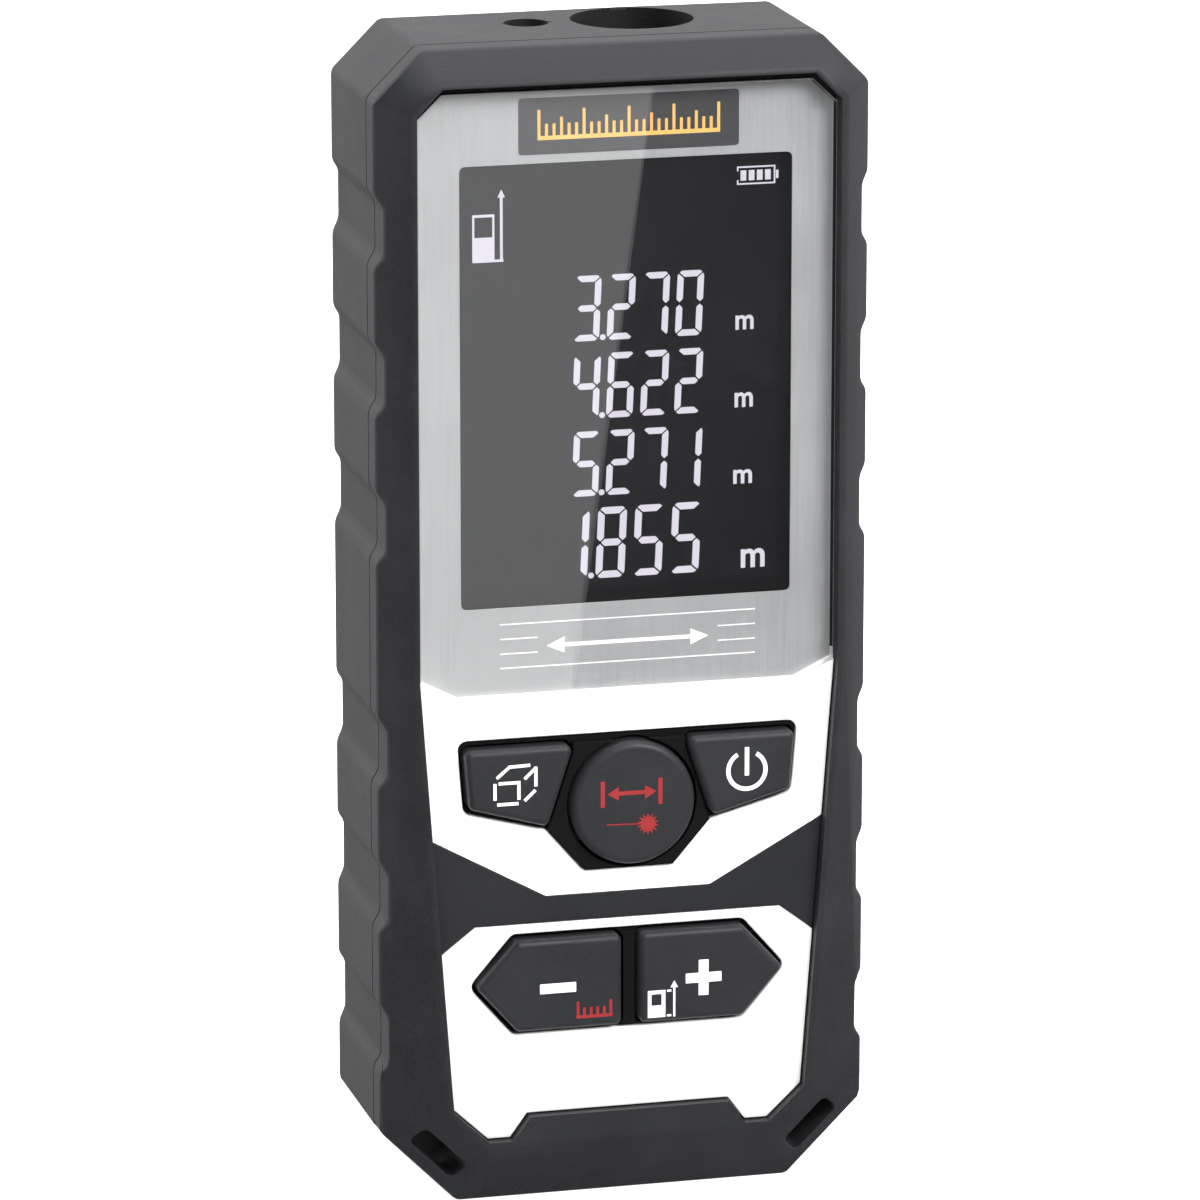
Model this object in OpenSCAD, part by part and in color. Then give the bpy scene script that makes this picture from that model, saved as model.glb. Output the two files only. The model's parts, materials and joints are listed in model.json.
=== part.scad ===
// Handheld laser distance meter, standing upright on its base.
// +Z runs up to the beam end, the display faces -Y, and the origin is under the middle of the base.
// Every piece is drawn where it sits in the assembled meter, with all keys up and the door shut.

/* [Body] */
// Width over the side grips
body_w = 52; // [50:0.5:56]
// Height from the base to the beam end
body_h = 122; // [121:0.5:126]
// Depth from the key tops to the back
body_d = 27; // [26.8:0.1:28]
// Corner cut at the beam end
top_chamfer = 5.1; // [4.6:0.1:5.6]
// Corner cut at the base
base_chamfer = 8.1; // [7.8:0.1:8.4]
// Wall of the rubber-coated housing
wall = 2.9; // [2.7:0.1:3]

/* [Grip] */
// Depth of each grip notch
notch_depth = 0.85; // [0.6:0.05:0.95]
// Length of a notch at its floor
notch_floor = 5.1; // [4:0.1:6]
// Length of a notch at its mouth
notch_mouth = 7.5; // [6.5:0.1:8]
// Height from mid-body to the nearest notch
notch_first = 11.9; // [11:0.1:13]
// Distance from one notch to the next
notch_pitch = 15.4; // [14.8:0.1:15.6]

/* [Display] */
// Width of the lit display area
lcd_w = 34.9; // [32:0.1:35.2]
// Height of the lit display area
lcd_h = 45.8; // [44:0.1:46]
// Thickness of the clear window
window_t = 1.2; // [0.9:0.05:1.2]

/* [Keys] */
// Radius of the round measuring key
measure_r = 6.6; // [6.4:0.1:6.8]
// How far the keys stand above the fascia
key_rise = 1.4; // [1.2:0.1:1.6]
// How far a key travels when pressed
key_travel = 0.6; // [0.4:0.05:0.6]
// Free gap round each key
key_gap = 0.3; // [0.25:0.05:0.3]

/* [Optics] */
// Radius of the laser aperture in the beam end
laser_port_r = 2.3; // [2:0.1:2.5]
// Radius of the receiver aperture in the beam end
receiver_port_r = 6.4; // [6:0.1:6.4]
// Sideways place of the laser axis
laser_x = -6.9; // [-7.2:0.1:-6.8]
// Sideways place of the receiver axis
receiver_x = 4.3; // [4.2:0.1:4.5]

/* [Battery] */
// Radius of one cell
cell_r = 5.2; // [5:0.1:5.25]
// Length of one cell over its nub
cell_l = 44.5; // [43:0.5:44.5]

/* [Hidden] */
$fn = 64;
thin = 0.01;
arc_steps = 4;

// Rows through the depth, from the key tops to the back
lip_rise = 1.1;
bevel_rise = 0.8;
mask_t = 0.15;
bevel_depth = 2.3;
panel_t = 1.55;
frame_depth = 5.3;
back_bevel = 3.5;
back_inset = 3.2;
back_wall = 2.2;
key_y = -body_d / 2;
face_y = key_y + key_rise;
lip_y = face_y - lip_rise;
bevel_y = face_y - bevel_rise;
mask_y = face_y + window_t;
ledge_y = mask_y + mask_t;
edge_y = face_y + bevel_depth;
plate_y = ledge_y + panel_t;
seam_y = face_y + frame_depth;
back_y = body_d / 2;
back_bevel_y = back_y - back_bevel;
inner_y = back_y - back_wall;

// Heights on the front
window_low_z = 54.7;
window_side_z = 56.75;
window_top_z = body_h - 4.25;
lcd_low_z = 64.35;
lcd_high_z = lcd_low_z + lcd_h;
measure_x = 0.3;
measure_z = 42.85;

// Circuit board and key stack
board_gap = 0.4;
board_t = 1.2;
board_y = seam_y + board_gap;
board_back_y = board_y + board_t;
pad_t = 0.1;
mat_t = 1;
pill_t = 0.4;
pill_gap = 0.1;
pill_y = board_y - pad_t - pill_gap - key_travel - pill_t;

// Battery bay
cell_gap = 0.8;
cell_side_gap = 0.7;
cell_front_gap = 0.6;
cell_back_gap = 0.2;
cell_x = cell_r + cell_gap / 2;
cell_y = inner_y - cell_back_gap - cell_r;
cell_low_z = 17.4;
bay_half_w = cell_x + cell_r + cell_side_gap;
bay_low_z = 13;
bay_high_z = 66;
bay_front_y = cell_y - cell_r - cell_front_gap;
bay_wall = 1;

// Battery door
door_half_w = 15;
door_t = 1.6;
door_low_z = 9.6;
door_high_z = 70;
door_gap = 0.3;
door_y = back_y - door_t;
hinge_z = door_low_z + door_t / 2;
hinge_y = back_y - door_t / 2;
trunnion_r = 0.5;
trunnion_l = 1;
trunnion_gap = 0.1;

// Optics
optics_y = 3.2;
optics_low_z = 80;
end_wall = 2.4;
port_floor_z = body_h - end_wall;

// Screws
screw_r = 1.1;
screw_head_r = 2;
screw_head_h = 1.6;
screw_head_y = 0;
screw_tip_y = plate_y - 0.4;
boss_r = 2.9;
boss_notch = boss_r + 0.4;
screw_points = [[17.8, body_h - 6.8], [19.8, 58.2], [18.2, 12.6]];

// Colours
soft_black = "#2f3033";
hard_black = "#1d1e20";
fascia_white = "#f4f4f2";
film_grey = "#b4b6b8";
key_black = "#26272a";
board_green = "#1f5a3c";
steel = "#b9bcc0";
brass = "#c8a456";
clear_glass = "#cfe3ea";

// ---- outline helpers: points run counter-clockwise, seen from the front, as [x, z] ----

function unit(v) = v / norm(v);
function edge_normal(a, b) = let(u = unit(b - a)) [u[1], -u[0]];

// Both halves of an outline from its right half, listed from the bottom up
function both_sides(right) = concat(right, [for (i = [len(right) - 1:-1:0]) [-right[i][0], right[i][1]]]);

// The same outline seen in a mirror, still counter-clockwise
function flipped(points) = [for (i = [len(points) - 1:-1:0]) [-points[i][0], points[i][1]]];

// Every edge moved outward by a distance
function grow(points, by) = [
    for (i = [0:len(points) - 1])
        let(
            count = len(points),
            before = edge_normal(points[(i + count - 1) % count], points[i]),
            after = edge_normal(points[i], points[(i + 1) % count])
        )
        points[i] + by * (before + after) / (1 + before * after)
];

// Every corner turned into an arc
function rounded(points, radius) = [
    for (i = [0:len(points) - 1])
        let(
            count = len(points),
            back = unit(points[(i + count - 1) % count] - points[i]),
            ahead = unit(points[(i + 1) % count] - points[i]),
            half = acos(back * ahead) / 2,
            centre = points[i] + unit(back + ahead) * radius / sin(half),
            from = points[i] + back * radius / tan(half) - centre,
            to = points[i] + ahead * radius / tan(half) - centre,
            start = atan2(from[1], from[0]),
            turn = (atan2(to[1], to[0]) - start + 540) % 360 - 180
        )
        for (s = [0:arc_steps])
            centre + radius * [cos(start + turn * s / arc_steps), sin(start + turn * s / arc_steps)]
];

// ---- solid helpers ----

module slab(points, from_y, to_y) {
    translate([0, to_y, 0])
        rotate([90, 0, 0])
            linear_extrude(to_y - from_y)
                polygon(points);
}

module rod_y(x, z, r, from_y, to_y) {
    translate([x, to_y, z])
        rotate([90, 0, 0])
            cylinder(h = to_y - from_y, r = r);
}

module rod_z(x, y, r, from_z, to_z) {
    translate([x, y, from_z])
        cylinder(h = to_z - from_z, r = r);
}

// A block between two opposite corners
module block(low, high) {
    translate(low)
        cube(high - low);
}

module at_screws() {
    for (side = [-1, 1], p = screw_points)
        translate([side * p[0], 0, p[1]])
            children();
}

// ---- outlines ----

function body_outline(inset = 0) = grow(both_sides([
    [body_w / 2 - base_chamfer, 0],
    [body_w / 2, base_chamfer],
    [body_w / 2, body_h - top_chamfer],
    [body_w / 2 - top_chamfer, body_h]
]), -inset);

// One grip notch on the right side
function notch_points(z, depth) = [
    [body_w / 2, z - notch_mouth / 2],
    [body_w / 2 - depth, z - notch_floor / 2],
    [body_w / 2 - depth, z + notch_floor / 2],
    [body_w / 2, z + notch_mouth / 2]
];

notch_heights = [
    for (k = [-3:3])
        if (k != 0)
            body_h / 2 + sign(k) * (notch_first + (abs(k) - 1) * notch_pitch)
];

function grip_outline() = both_sides(concat(
    [[body_w / 2 - base_chamfer, 0], [body_w / 2, base_chamfer]],
    [for (z = notch_heights) for (p = notch_points(z, notch_depth)) p],
    [[body_w / 2, body_h - top_chamfer], [body_w / 2 - top_chamfer, body_h]]
));

hollow_cut = 10.7;
corner_wall = 1.2;

// Hollow inside of the housing, cut back at the base corners to leave room for the strap slots
function hollow_outline(inset = 0) = grow(both_sides([
    [body_w / 2 - wall - hollow_cut, wall],
    [body_w / 2 - wall, wall + hollow_cut],
    [body_w / 2 - wall, body_h - top_chamfer - corner_wall],
    [body_w / 2 - top_chamfer - corner_wall, port_floor_z]
]), -inset);

// Opening in the frame, with the tongue that rises from its lower edge
opening_outline = both_sides([
    [10.7, 9.65],
    [12.5, 7.15],
    [15.1, 7.15],
    [18.85, 10.7],
    [22.2, window_side_z],
    [22.2, body_h - 6.3],
    [19.5, body_h - 3.5]
]);

// Inner edge of the broad front bevel
bevel_outline = both_sides([
    [15.3, 6.05],
    [19.7, 10.4],
    [23.05, window_side_z],
    [23.05, body_h - 6],
    [19.9, body_h - 2.8]
]);

lip_outline = both_sides([
    [15.15, 6.8],
    [19, 10.65],
    [22.35, window_side_z],
    [22.35, body_h - 6.25],
    [19.6, body_h - 3.45]
]);

window_outline = both_sides([
    [18, window_low_z],
    [22, window_side_z],
    [22, window_top_z - 2.5],
    [19.4, window_top_z]
]);

// White face of the fascia, below the window
fascia_outline = both_sides([
    [10.85, 9.8],
    [12.65, 7.3],
    [15.05, 7.3],
    [18.7, 10.75],
    [22.05, window_side_z - 0.15],
    [18.05, window_low_z - 0.05]
]);

// Reaches past the white face at both ends, and is trimmed to it
band_outline = [
    [-8.8, 33.2], [-22, 40.5], [-21.2, 26.57], [-16.3, 30.3],
    [16.3, 30.3], [21.2, 26.57], [22, 40.5], [8.8, 33.2]
];

upper_opening = rounded(both_sides([
    [4.75, 35.7],
    [8.75, 40.35],
    [17.5, 42.65],
    [18.1, 50.3]
]), 0.9);

lower_opening = rounded(both_sides([
    [12.35, 18.5],
    [16.95, 23.9],
    [12.35, 29.25]
]), 0.9);

// Caps of the shaped keys
power_cap = rounded([[8.8, 40.9], [17.1, 43.25], [17.6, 49.5], [6, 49.5]], 0.7);
plus_cap = rounded([[0.95, 19], [12.1, 19], [16.45, 24], [12.1, 28.8], [0.95, 28.8]], 0.7);
area_cap = flipped(power_cap);
minus_cap = flipped(plus_cap);

// A rectangle round the lit area: its half width, and how far it reaches past that area below and above
function display_rect(half_w, below, above) =
    both_sides([[half_w, lcd_low_z - below], [half_w, lcd_high_z + above]]);

lcd_opening = display_rect(18.3, 1.15, 1.05);

// ---- housing ----

// Frame blank: straight sides behind, a broad bevel and a narrow lip in front
module frame_blank() {
    hull() {
        slab(body_outline(), edge_y, seam_y);
        slab(bevel_outline, bevel_y, bevel_y + thin);
        slab(lip_outline, lip_y, lip_y + thin);
    }
}

module grip_cuts(from_y, to_y) {
    for (side = [0, 1])
        mirror([side, 0, 0])
            for (z = notch_heights)
                slab(
                    concat(
                        notch_points(z, notch_depth),
                        [[body_w, z + notch_mouth / 2], [body_w, z - notch_mouth / 2]]
                    ),
                    from_y, to_y
                );
}

// Strap slot at a base corner: in at the front, out through the corner cut behind
slot_l = 6.3;
slot_w = 2.3;
slot_r = 0.75;
slot_x = 20.1;
slot_z = 5.8;
slot_back_y = -2.6;
slot_exit_h = 3.4;
slot_exit_l = 6;

module strap_slots() {
    for (side = [0, 1])
        mirror([side, 0, 0])
            translate([slot_x, slot_back_y, slot_z])
                rotate([0, -45, 0]) {
                    hull()
                        for (end = [-1, 1], edge = [-1, 1])
                            translate([end * (slot_l / 2 - slot_r), 0, edge * (slot_w / 2 - slot_r)])
                                rotate([90, 0, 0])
                                    cylinder(h = body_d, r = slot_r);
                    translate([-slot_l / 2, -slot_exit_h, -slot_exit_l])
                        cube([slot_l, slot_exit_h, slot_exit_l]);
                }
}

module front_frame() {
    color(soft_black)
        difference() {
            frame_blank();
            grip_cuts(lip_y - 1, seam_y + 1);
            slab(opening_outline, lip_y - 1, seam_y + 1);
            slab(hollow_outline(), ledge_y, seam_y + 1);
            strap_slots();
        }
}

gasket_out = 1.35;
gasket_in = 2.3;
gasket_t = 0.8;
shadow_line = 0.25;

module rear_shell() {
    difference() {
        hull() {
            slab(body_outline(), seam_y, back_bevel_y);
            slab(body_outline(back_inset), back_y - thin, back_y);
        }
        grip_cuts(seam_y - 1, back_y + 1);
        // narrow shadow line beside the frame
        difference() {
            slab(grow(grip_outline(), 1), seam_y - 1, seam_y + shadow_line);
            slab(grow(grip_outline(), -shadow_line), seam_y - 2, seam_y + 1);
        }
        slab(hollow_outline(), seam_y - 1, inner_y);
        gasket_ring(seam_y - 1, seam_y + gasket_t);
    }
}

// Groove for the seal round the joint face, and the seal in it
module gasket_ring(from_y, to_y) {
    difference() {
        slab(hollow_outline(-wall + gasket_out), from_y, to_y);
        slab(hollow_outline(-wall + gasket_in), from_y - 1, to_y + 1);
    }
}

ledge_margin = 1.6;
ledge_t = 1.9;
door_rest = 0.4;
recess_gap = 0.3;
weld = 0.5;
pillar_x = 20;
pillar_z = 79.5;
pillar_r = 1.8;
slit_half_w = 1.6;
slit_h = 0.5;
socket_l = 2.2;
well_r = 5;
well_depth = 1.2;

module battery_bay(grow_by) {
    block(
        [-bay_half_w - grow_by, bay_front_y - grow_by, bay_low_z - grow_by],
        [bay_half_w + grow_by, door_y - door_rest - grow_by / 2, bay_high_z + grow_by]
    );
}

module door_recess() {
    block(
        [-door_half_w - door_gap, door_y - recess_gap, door_low_z - door_gap],
        [door_half_w + door_gap, back_y + 1, door_high_z + door_gap]
    );
}

// Opening in the ledge under the door, through to the bay
module bay_mouth() {
    block([-bay_half_w, bay_front_y, bay_low_z], [bay_half_w, back_y, bay_high_z]);
}

module rear_cover() {
    color(soft_black)
        difference() {
            union() {
                rear_shell();
                battery_bay(bay_wall);
                at_screws()
                    rod_y(0, 0, boss_r, seam_y, inner_y + weld);
                // ledge that carries the door
                block(
                    [-door_half_w - ledge_margin, inner_y - ledge_t, door_low_z - 1.4],
                    [door_half_w + ledge_margin, inner_y + 0.1, door_high_z + ledge_margin]
                );
                // pillars that stop the board from behind
                for (side = [-1, 1])
                    rod_y(side * pillar_x, pillar_z, pillar_r, board_back_y, inner_y + weld);
            }
            bay_mouth();
            door_recess();
            at_screws() {
                rod_y(0, 0, screw_r + 0.2, seam_y - 1, back_y + 1);
                rod_y(0, 0, screw_head_r + 0.3, screw_head_y, back_y + 1);
            }
            strap_slots();
            rod_z(laser_x, optics_y, laser_port_r, port_floor_z - 1, body_h + 1);
            rod_z(receiver_x, optics_y, receiver_port_r, port_floor_z - 1, body_h + 1);
            // sockets for the door trunnions
            for (side = [-1, 1])
                translate([side * (door_half_w + 0.9), hinge_y, hinge_z])
                    rotate([0, 90, 0])
                        cylinder(h = socket_l, r = trunnion_r + trunnion_gap, center = true);
            // slits for the battery contacts
            for (side = [-1, 1])
                block(
                    [side * cell_x - slit_half_w, bay_front_y - 2, bay_high_z - slit_h],
                    [side * cell_x + slit_half_w, bay_front_y + 1, bay_high_z]
                );
            // finger well above the door
            translate([0, back_y, door_high_z + door_gap])
                rotate([90, 0, 0])
                    cylinder(h = 2 * well_depth, r = well_r, center = true);
        }
}

module housing_gasket() {
    color(hard_black)
        gasket_ring(seam_y, seam_y + gasket_t);
}

panel_gap = 0.2;
band_t = 0.8;
band_gap = 0.06;

module front_panel() {
    color(fascia_white)
        difference() {
            union() {
                slab(fascia_outline, face_y, ledge_y);
                slab(hollow_outline(panel_gap), ledge_y, plate_y);
                at_screws()
                    rod_y(0, 0, boss_r - 0.3, plate_y, seam_y);
            }
            slab(upper_opening, face_y - 1, seam_y);
            slab(lower_opening, face_y - 1, seam_y);
            slab(lcd_opening, face_y - 1, seam_y);
            slab(band_outline, face_y - 1, face_y + band_t);
            at_screws()
                rod_y(0, 0, screw_r, screw_tip_y - 0.3, seam_y + 1);
        }
}

module waist_band() {
    color(key_black)
        intersection() {
            slab(grow(band_outline, -band_gap), face_y, face_y + band_t);
            slab(fascia_outline, face_y, ledge_y);
        }
}

module display_window() {
    color(clear_glass, 0.35)
        slab(window_outline, face_y, mask_y);
}

module window_mask() {
    color(film_grey)
        difference() {
            slab(grow(window_outline, -0.2), mask_y, ledge_y);
            slab(rounded(display_rect(lcd_w / 2, 0.35, 0), 0.6), mask_y - 1, ledge_y + 1);
        }
}

recess_arm = 1.1;
recess_half_w = 0.25;
recess_floor_y = screw_head_y + 0.7;

module housing_screws() {
    color(steel)
        at_screws()
            difference() {
                union() {
                    rod_y(0, 0, screw_r, screw_tip_y, screw_head_y);
                    rod_y(0, 0, screw_head_r, screw_head_y, screw_head_y + screw_head_h);
                }
                // cross recess
                for (turn = [0, 90])
                    rotate([0, turn, 0])
                        block(
                            [-recess_arm, recess_floor_y, -recess_half_w],
                            [recess_arm, screw_head_y + screw_head_h + 1, recess_half_w]
                        );
            }
}

// ---- display stack ----

lcd_t = 1.8;
light_t = 1.4;
lcd_y = ledge_y + 0.1;
lcd_back_y = lcd_y + lcd_t;
light_back_y = lcd_back_y + light_t;
lcd_plate = display_rect(18.1, 0.95, 0.85);
light_half_w = 17.7;
strip_half_w = 13.8;
strip_low_z = lcd_low_z - 0.7;
strip_high_z = lcd_low_z + 1.3;
strip_gap = 0.2;

module lcd_panel() {
    color("#202226")
        slab(lcd_plate, lcd_y, lcd_back_y);
}

module backlight() {
    color("#e9eef2")
        slab(display_rect(light_half_w, -1.6, 0.6), lcd_back_y, light_back_y);
}

module lcd_holder() {
    color("#dfe2e4")
        difference() {
            slab(display_rect(20.4, 2.4, 2), plate_y, board_y);
            slab(grow(lcd_plate, 0.1), plate_y - 1, lcd_back_y);
            slab(display_rect(light_half_w + 0.1, 1, 0.7), plate_y - 1, light_back_y);
            block(
                [-strip_half_w - strip_gap, plate_y - 1, strip_low_z - strip_gap],
                [strip_half_w + strip_gap, board_y + 1, strip_high_z + strip_gap]
            );
            at_screws()
                rod_y(0, 0, boss_r + 0.3, plate_y - 1, board_y + 1);
        }
}

// Rubber strip with conductors between the glass and the board
module lcd_connector() {
    color("#d98a3a")
        block([-strip_half_w, lcd_back_y, strip_low_z], [strip_half_w, board_y, strip_high_z]);
}

// ---- keys ----

web_y = face_y + 0.35;
mat_outline = both_sides([[19.6, 16.3], [19.6, 54.2]]);
ridge_y = face_y - 0.5;
upper_ridge = both_sides([[4.75, 35.7], [8.75, 40.35], [8.6, 41.1], [6, 49.6]]);
lower_ridge = both_sides([[0.8, 18.9], [0.8, 28.7]]);

module key_wells(by) {
    slab(grow(power_cap, by), key_y - 1, seam_y);
    slab(grow(area_cap, by), key_y - 1, seam_y);
    slab(grow(plus_cap, by), key_y - 1, seam_y);
    slab(grow(minus_cap, by), key_y - 1, seam_y);
    rod_y(measure_x, measure_z, measure_r + by, key_y - 1, seam_y);
}

module keypad_mat() {
    color(hard_black)
        difference() {
            union() {
                slab(mat_outline, plate_y, plate_y + mat_t);
                slab(grow(upper_opening, -0.1), web_y, plate_y);
                slab(grow(lower_opening, -0.1), web_y, plate_y);
                // ridges between the keys, almost as high as the keys
                slab(grow(upper_ridge, -0.1), ridge_y, plate_y);
                slab(lower_ridge, ridge_y, plate_y);
            }
            key_wells(key_gap);
        }
}

module key_area() {
    color(key_black)
        slab(area_cap, key_y, pill_y);
}

module key_measure() {
    color(key_black)
        rod_y(measure_x, measure_z, measure_r, key_y, pill_y);
}

module key_power() {
    color(key_black)
        slab(power_cap, key_y, pill_y);
}

module key_minus() {
    color(key_black)
        slab(minus_cap, key_y, pill_y);
}

module key_plus() {
    color(key_black)
        slab(plus_cap, key_y, pill_y);
}

side_key_x = 12.4;
side_key_z = 45.9;
step_key_x = 7.5;
step_key_z = 23.9;
pill_r = 2.2;

module pill(x, z) {
    color("#101010")
        rod_y(x, z, pill_r, pill_y, pill_y + pill_t);
}

module pill_area() { pill(-side_key_x, side_key_z); }
module pill_measure() { pill(measure_x, measure_z); }
module pill_power() { pill(side_key_x, side_key_z); }
module pill_minus() { pill(-step_key_x, step_key_z); }
module pill_plus() { pill(step_key_x, step_key_z); }

pad_x = 1.25;
pad_half_w = 1;
pad_half_h = 1.8;
key_points = [
    [-side_key_x, side_key_z], [measure_x, measure_z], [side_key_x, side_key_z],
    [-step_key_x, step_key_z], [step_key_x, step_key_z]
];

// Gold pads that each carbon pill bridges
module contact_pads() {
    color(brass)
        for (p = key_points, side = [-1, 1])
            translate([p[0] + side * pad_x, 0, p[1]])
                block([-pad_half_w, board_y - pad_t, -pad_half_h], [pad_half_w, board_y, pad_half_h]);
}

// ---- circuit board ----

board_inset = 1.2;
notch_reach = 3;
notch_run = 10;
fixing_x = 19.9;
fixing_heights = [75, 100];
fixing_r = 0.7;
fixing_head_r = 1.4;
fixing_head_h = 0.9;
main_chip_w = 9;
main_chip_t = 1.2;
driver_chip_w = 6;
driver_chip_t = 1;
crystal_half_w = 2;
crystal_t = 1.4;
capacitor_w = 1.6;
capacitor_h = 2.6;
capacitor_t = 0.9;
capacitor_pitch = 4;
buzzer_x = 10.5;
buzzer_z = 26;
buzzer_r = 4.5;
buzzer_t = 2.4;

module main_board() {
    color(board_green)
        difference() {
            slab(hollow_outline(board_inset), board_y, board_back_y);
            // notches that clear the screw bosses and run out of the board's edge
            for (side = [-1, 1], p = screw_points) {
                x = side * (p[0] + notch_reach);
                half_w = notch_reach + boss_notch;
                below = boss_notch + (p[1] < body_h / 4 ? notch_run : 0);
                above = boss_notch + (p[1] > body_h * 3 / 4 ? notch_run : 0);
                block(
                    [x - half_w, board_y - 1, p[1] - below],
                    [x + half_w, board_back_y + 1, p[1] + above]
                );
            }
            for (side = [-1, 1], z = fixing_heights)
                rod_y(side * fixing_x, z, fixing_r, board_y - 1, board_back_y + 1);
        }
}

module board_screws() {
    color(steel)
        for (side = [-1, 1], z = fixing_heights) {
            rod_y(side * fixing_x, z, fixing_r, board_y, board_back_y);
            rod_y(side * fixing_x, z, fixing_head_r, board_back_y, board_back_y + fixing_head_h);
        }
}

// A flat part on the back of the board, given its middle, width, height and thickness
module board_part(x, z, w, h, t) {
    block([x - w / 2, board_back_y, z - h / 2], [x + w / 2, board_back_y + t, z + h / 2]);
}

module main_chip() {
    color(hard_black)
        board_part(-11.5, 44.5, main_chip_w, main_chip_w, main_chip_t);
}

module driver_chip() {
    color(hard_black)
        board_part(7, 45, driver_chip_w, driver_chip_w, driver_chip_t);
}

module timing_crystal() {
    color(steel)
        translate([-2, 0, 46])
            slab(
                rounded(both_sides([[crystal_half_w, -4], [crystal_half_w, 4]]), 1.6),
                board_back_y, board_back_y + crystal_t
            );
}

module board_capacitors() {
    color("#b98f5a")
        for (i = [0:4], z = [35.3, 55.3])
            board_part(-14.2 + capacitor_pitch * i, z, capacitor_w, capacitor_h, capacitor_t);
}

module buzzer() {
    color(hard_black)
        difference() {
            rod_y(buzzer_x, buzzer_z, buzzer_r, board_back_y, board_back_y + buzzer_t);
            rod_y(buzzer_x, buzzer_z, 0.8, board_back_y + buzzer_t / 2, board_back_y + buzzer_t + 1);
        }
}

// ---- optics ----

barrel_r = 3.1;
barrel_wall = 1;
barrel_low_z = 96;
barrel_high_z = 116.4;
beam_r = 2;
seat_r = 2.4;
diode_seat_z = 99;
lens_seat_z = 113.4;
tube_r = receiver_port_r + 1.2;
tube_low_z = 98;
block_top_z = port_floor_z - 0.6;
lens_z = 110.5;
lens_r = 6.6;
rim_t = 1.4;
seal_t = 0.8;
lens_low_z = lens_z - 1.6;
seal_low_z = lens_low_z - seal_t;
filter_z = 86;
filter_r = 2.6;
filter_t = 0.9;
foot_t = 1.6;
ear_r = 0.9;
ear_head_r = 1.7;
ear_head_h = 1.2;
optics_ears = [[-14.4, 90], [15.8, 90]];

// A tube along the height, given its place, both radii and both ends
module tube_z(x, y, r_out, r_in, from_z, to_z) {
    difference() {
        rod_z(x, y, r_out, from_z, to_z);
        rod_z(x, y, r_in, from_z - 1, to_z + 1);
    }
}

module optics_block() {
    color(hard_black)
        difference() {
            union() {
                rod_z(laser_x, optics_y, barrel_r + barrel_wall, barrel_low_z - 5, block_top_z);
                rod_z(receiver_x, optics_y, tube_r, tube_low_z, block_top_z);
                translate([receiver_x, optics_y, optics_low_z])
                    cylinder(h = tube_low_z - optics_low_z, r1 = 4.4, r2 = tube_r);
                // web between the two tubes, and a foot on the board
                block([laser_x, optics_y - 2, barrel_low_z - 4], [receiver_x, optics_y + 2, block_top_z]);
                block([-17, board_back_y, 86], [18.4, board_back_y + foot_t, 94]);
                block([laser_x - 2, board_back_y, 88], [receiver_x + 2, optics_y, 92]);
            }
            rod_z(laser_x, optics_y, barrel_r, barrel_low_z, block_top_z + 1);
            rod_z(laser_x, optics_y, 1.6, barrel_low_z - 6, barrel_low_z + 1);
            rod_z(receiver_x, optics_y, lens_r, seal_low_z, block_top_z + 1);
            // cone of light from the lens down to the filter
            translate([receiver_x, optics_y, filter_z + 1])
                cylinder(h = seal_low_z - filter_z - 1 + thin, r1 = 2.4, r2 = lens_r - 0.8);
            rod_z(receiver_x, optics_y, filter_r, optics_low_z - 1, filter_z + 1 + thin);
            for (p = optics_ears)
                rod_y(p[0], p[1], ear_r, board_back_y - 1, board_back_y + foot_t + 1);
        }
}

module optics_screws() {
    color(steel)
        for (p = optics_ears) {
            rod_y(p[0], p[1], ear_r, board_back_y, board_back_y + foot_t);
            rod_y(p[0], p[1], ear_head_r, board_back_y + foot_t, board_back_y + foot_t + ear_head_h);
        }
}

module laser_barrel() {
    color(brass)
        difference() {
            rod_z(laser_x, optics_y, barrel_r, barrel_low_z, barrel_high_z);
            rod_z(laser_x, optics_y, beam_r, barrel_low_z - 1, barrel_high_z + 1);
            rod_z(laser_x, optics_y, seat_r, lens_seat_z, barrel_high_z + 1);
            rod_z(laser_x, optics_y, seat_r, barrel_low_z - 1, diode_seat_z);
        }
}

// Flange, can and three pins
module laser_diode() {
    color(steel) {
        rod_z(laser_x, optics_y, seat_r, barrel_low_z, barrel_low_z + 1);
        rod_z(laser_x, optics_y, 1.7, barrel_low_z + 1, diode_seat_z);
        for (turn = [0:120:240])
            translate([laser_x, optics_y, 0])
                rotate(turn)
                    rod_z(0.9, 0, 0.22, barrel_low_z - 6, barrel_low_z + 0.5);
    }
}

// A disc with one face domed: the sphere and the disc share the rim
module domed_disc(r, edge_t, dome) {
    ball_r = (r * r + dome * dome) / (2 * dome);
    intersection() {
        cylinder(h = edge_t + dome, r = r);
        translate([0, 0, edge_t + dome - ball_r])
            sphere(r = ball_r);
    }
}

module collimator_lens() {
    color(clear_glass, 0.6)
        translate([laser_x, optics_y, lens_seat_z])
            domed_disc(seat_r, 1.2, 0.5);
}

module laser_window() {
    color(clear_glass, 0.6)
        rod_z(laser_x, optics_y, barrel_r - 0.1, block_top_z - 1.2, block_top_z - 0.2);
}

// Flat rim held by its ring, with a domed middle
module receiver_lens() {
    color(clear_glass, 0.6)
        translate([receiver_x, optics_y, lens_low_z]) {
            cylinder(h = rim_t, r = lens_r - 0.06);
            domed_disc(lens_r - 1.1, rim_t, 1.3);
        }
}

module lens_seal() {
    color(hard_black)
        tube_z(receiver_x, optics_y, lens_r, lens_r - 0.8, seal_low_z, lens_low_z);
}

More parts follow.
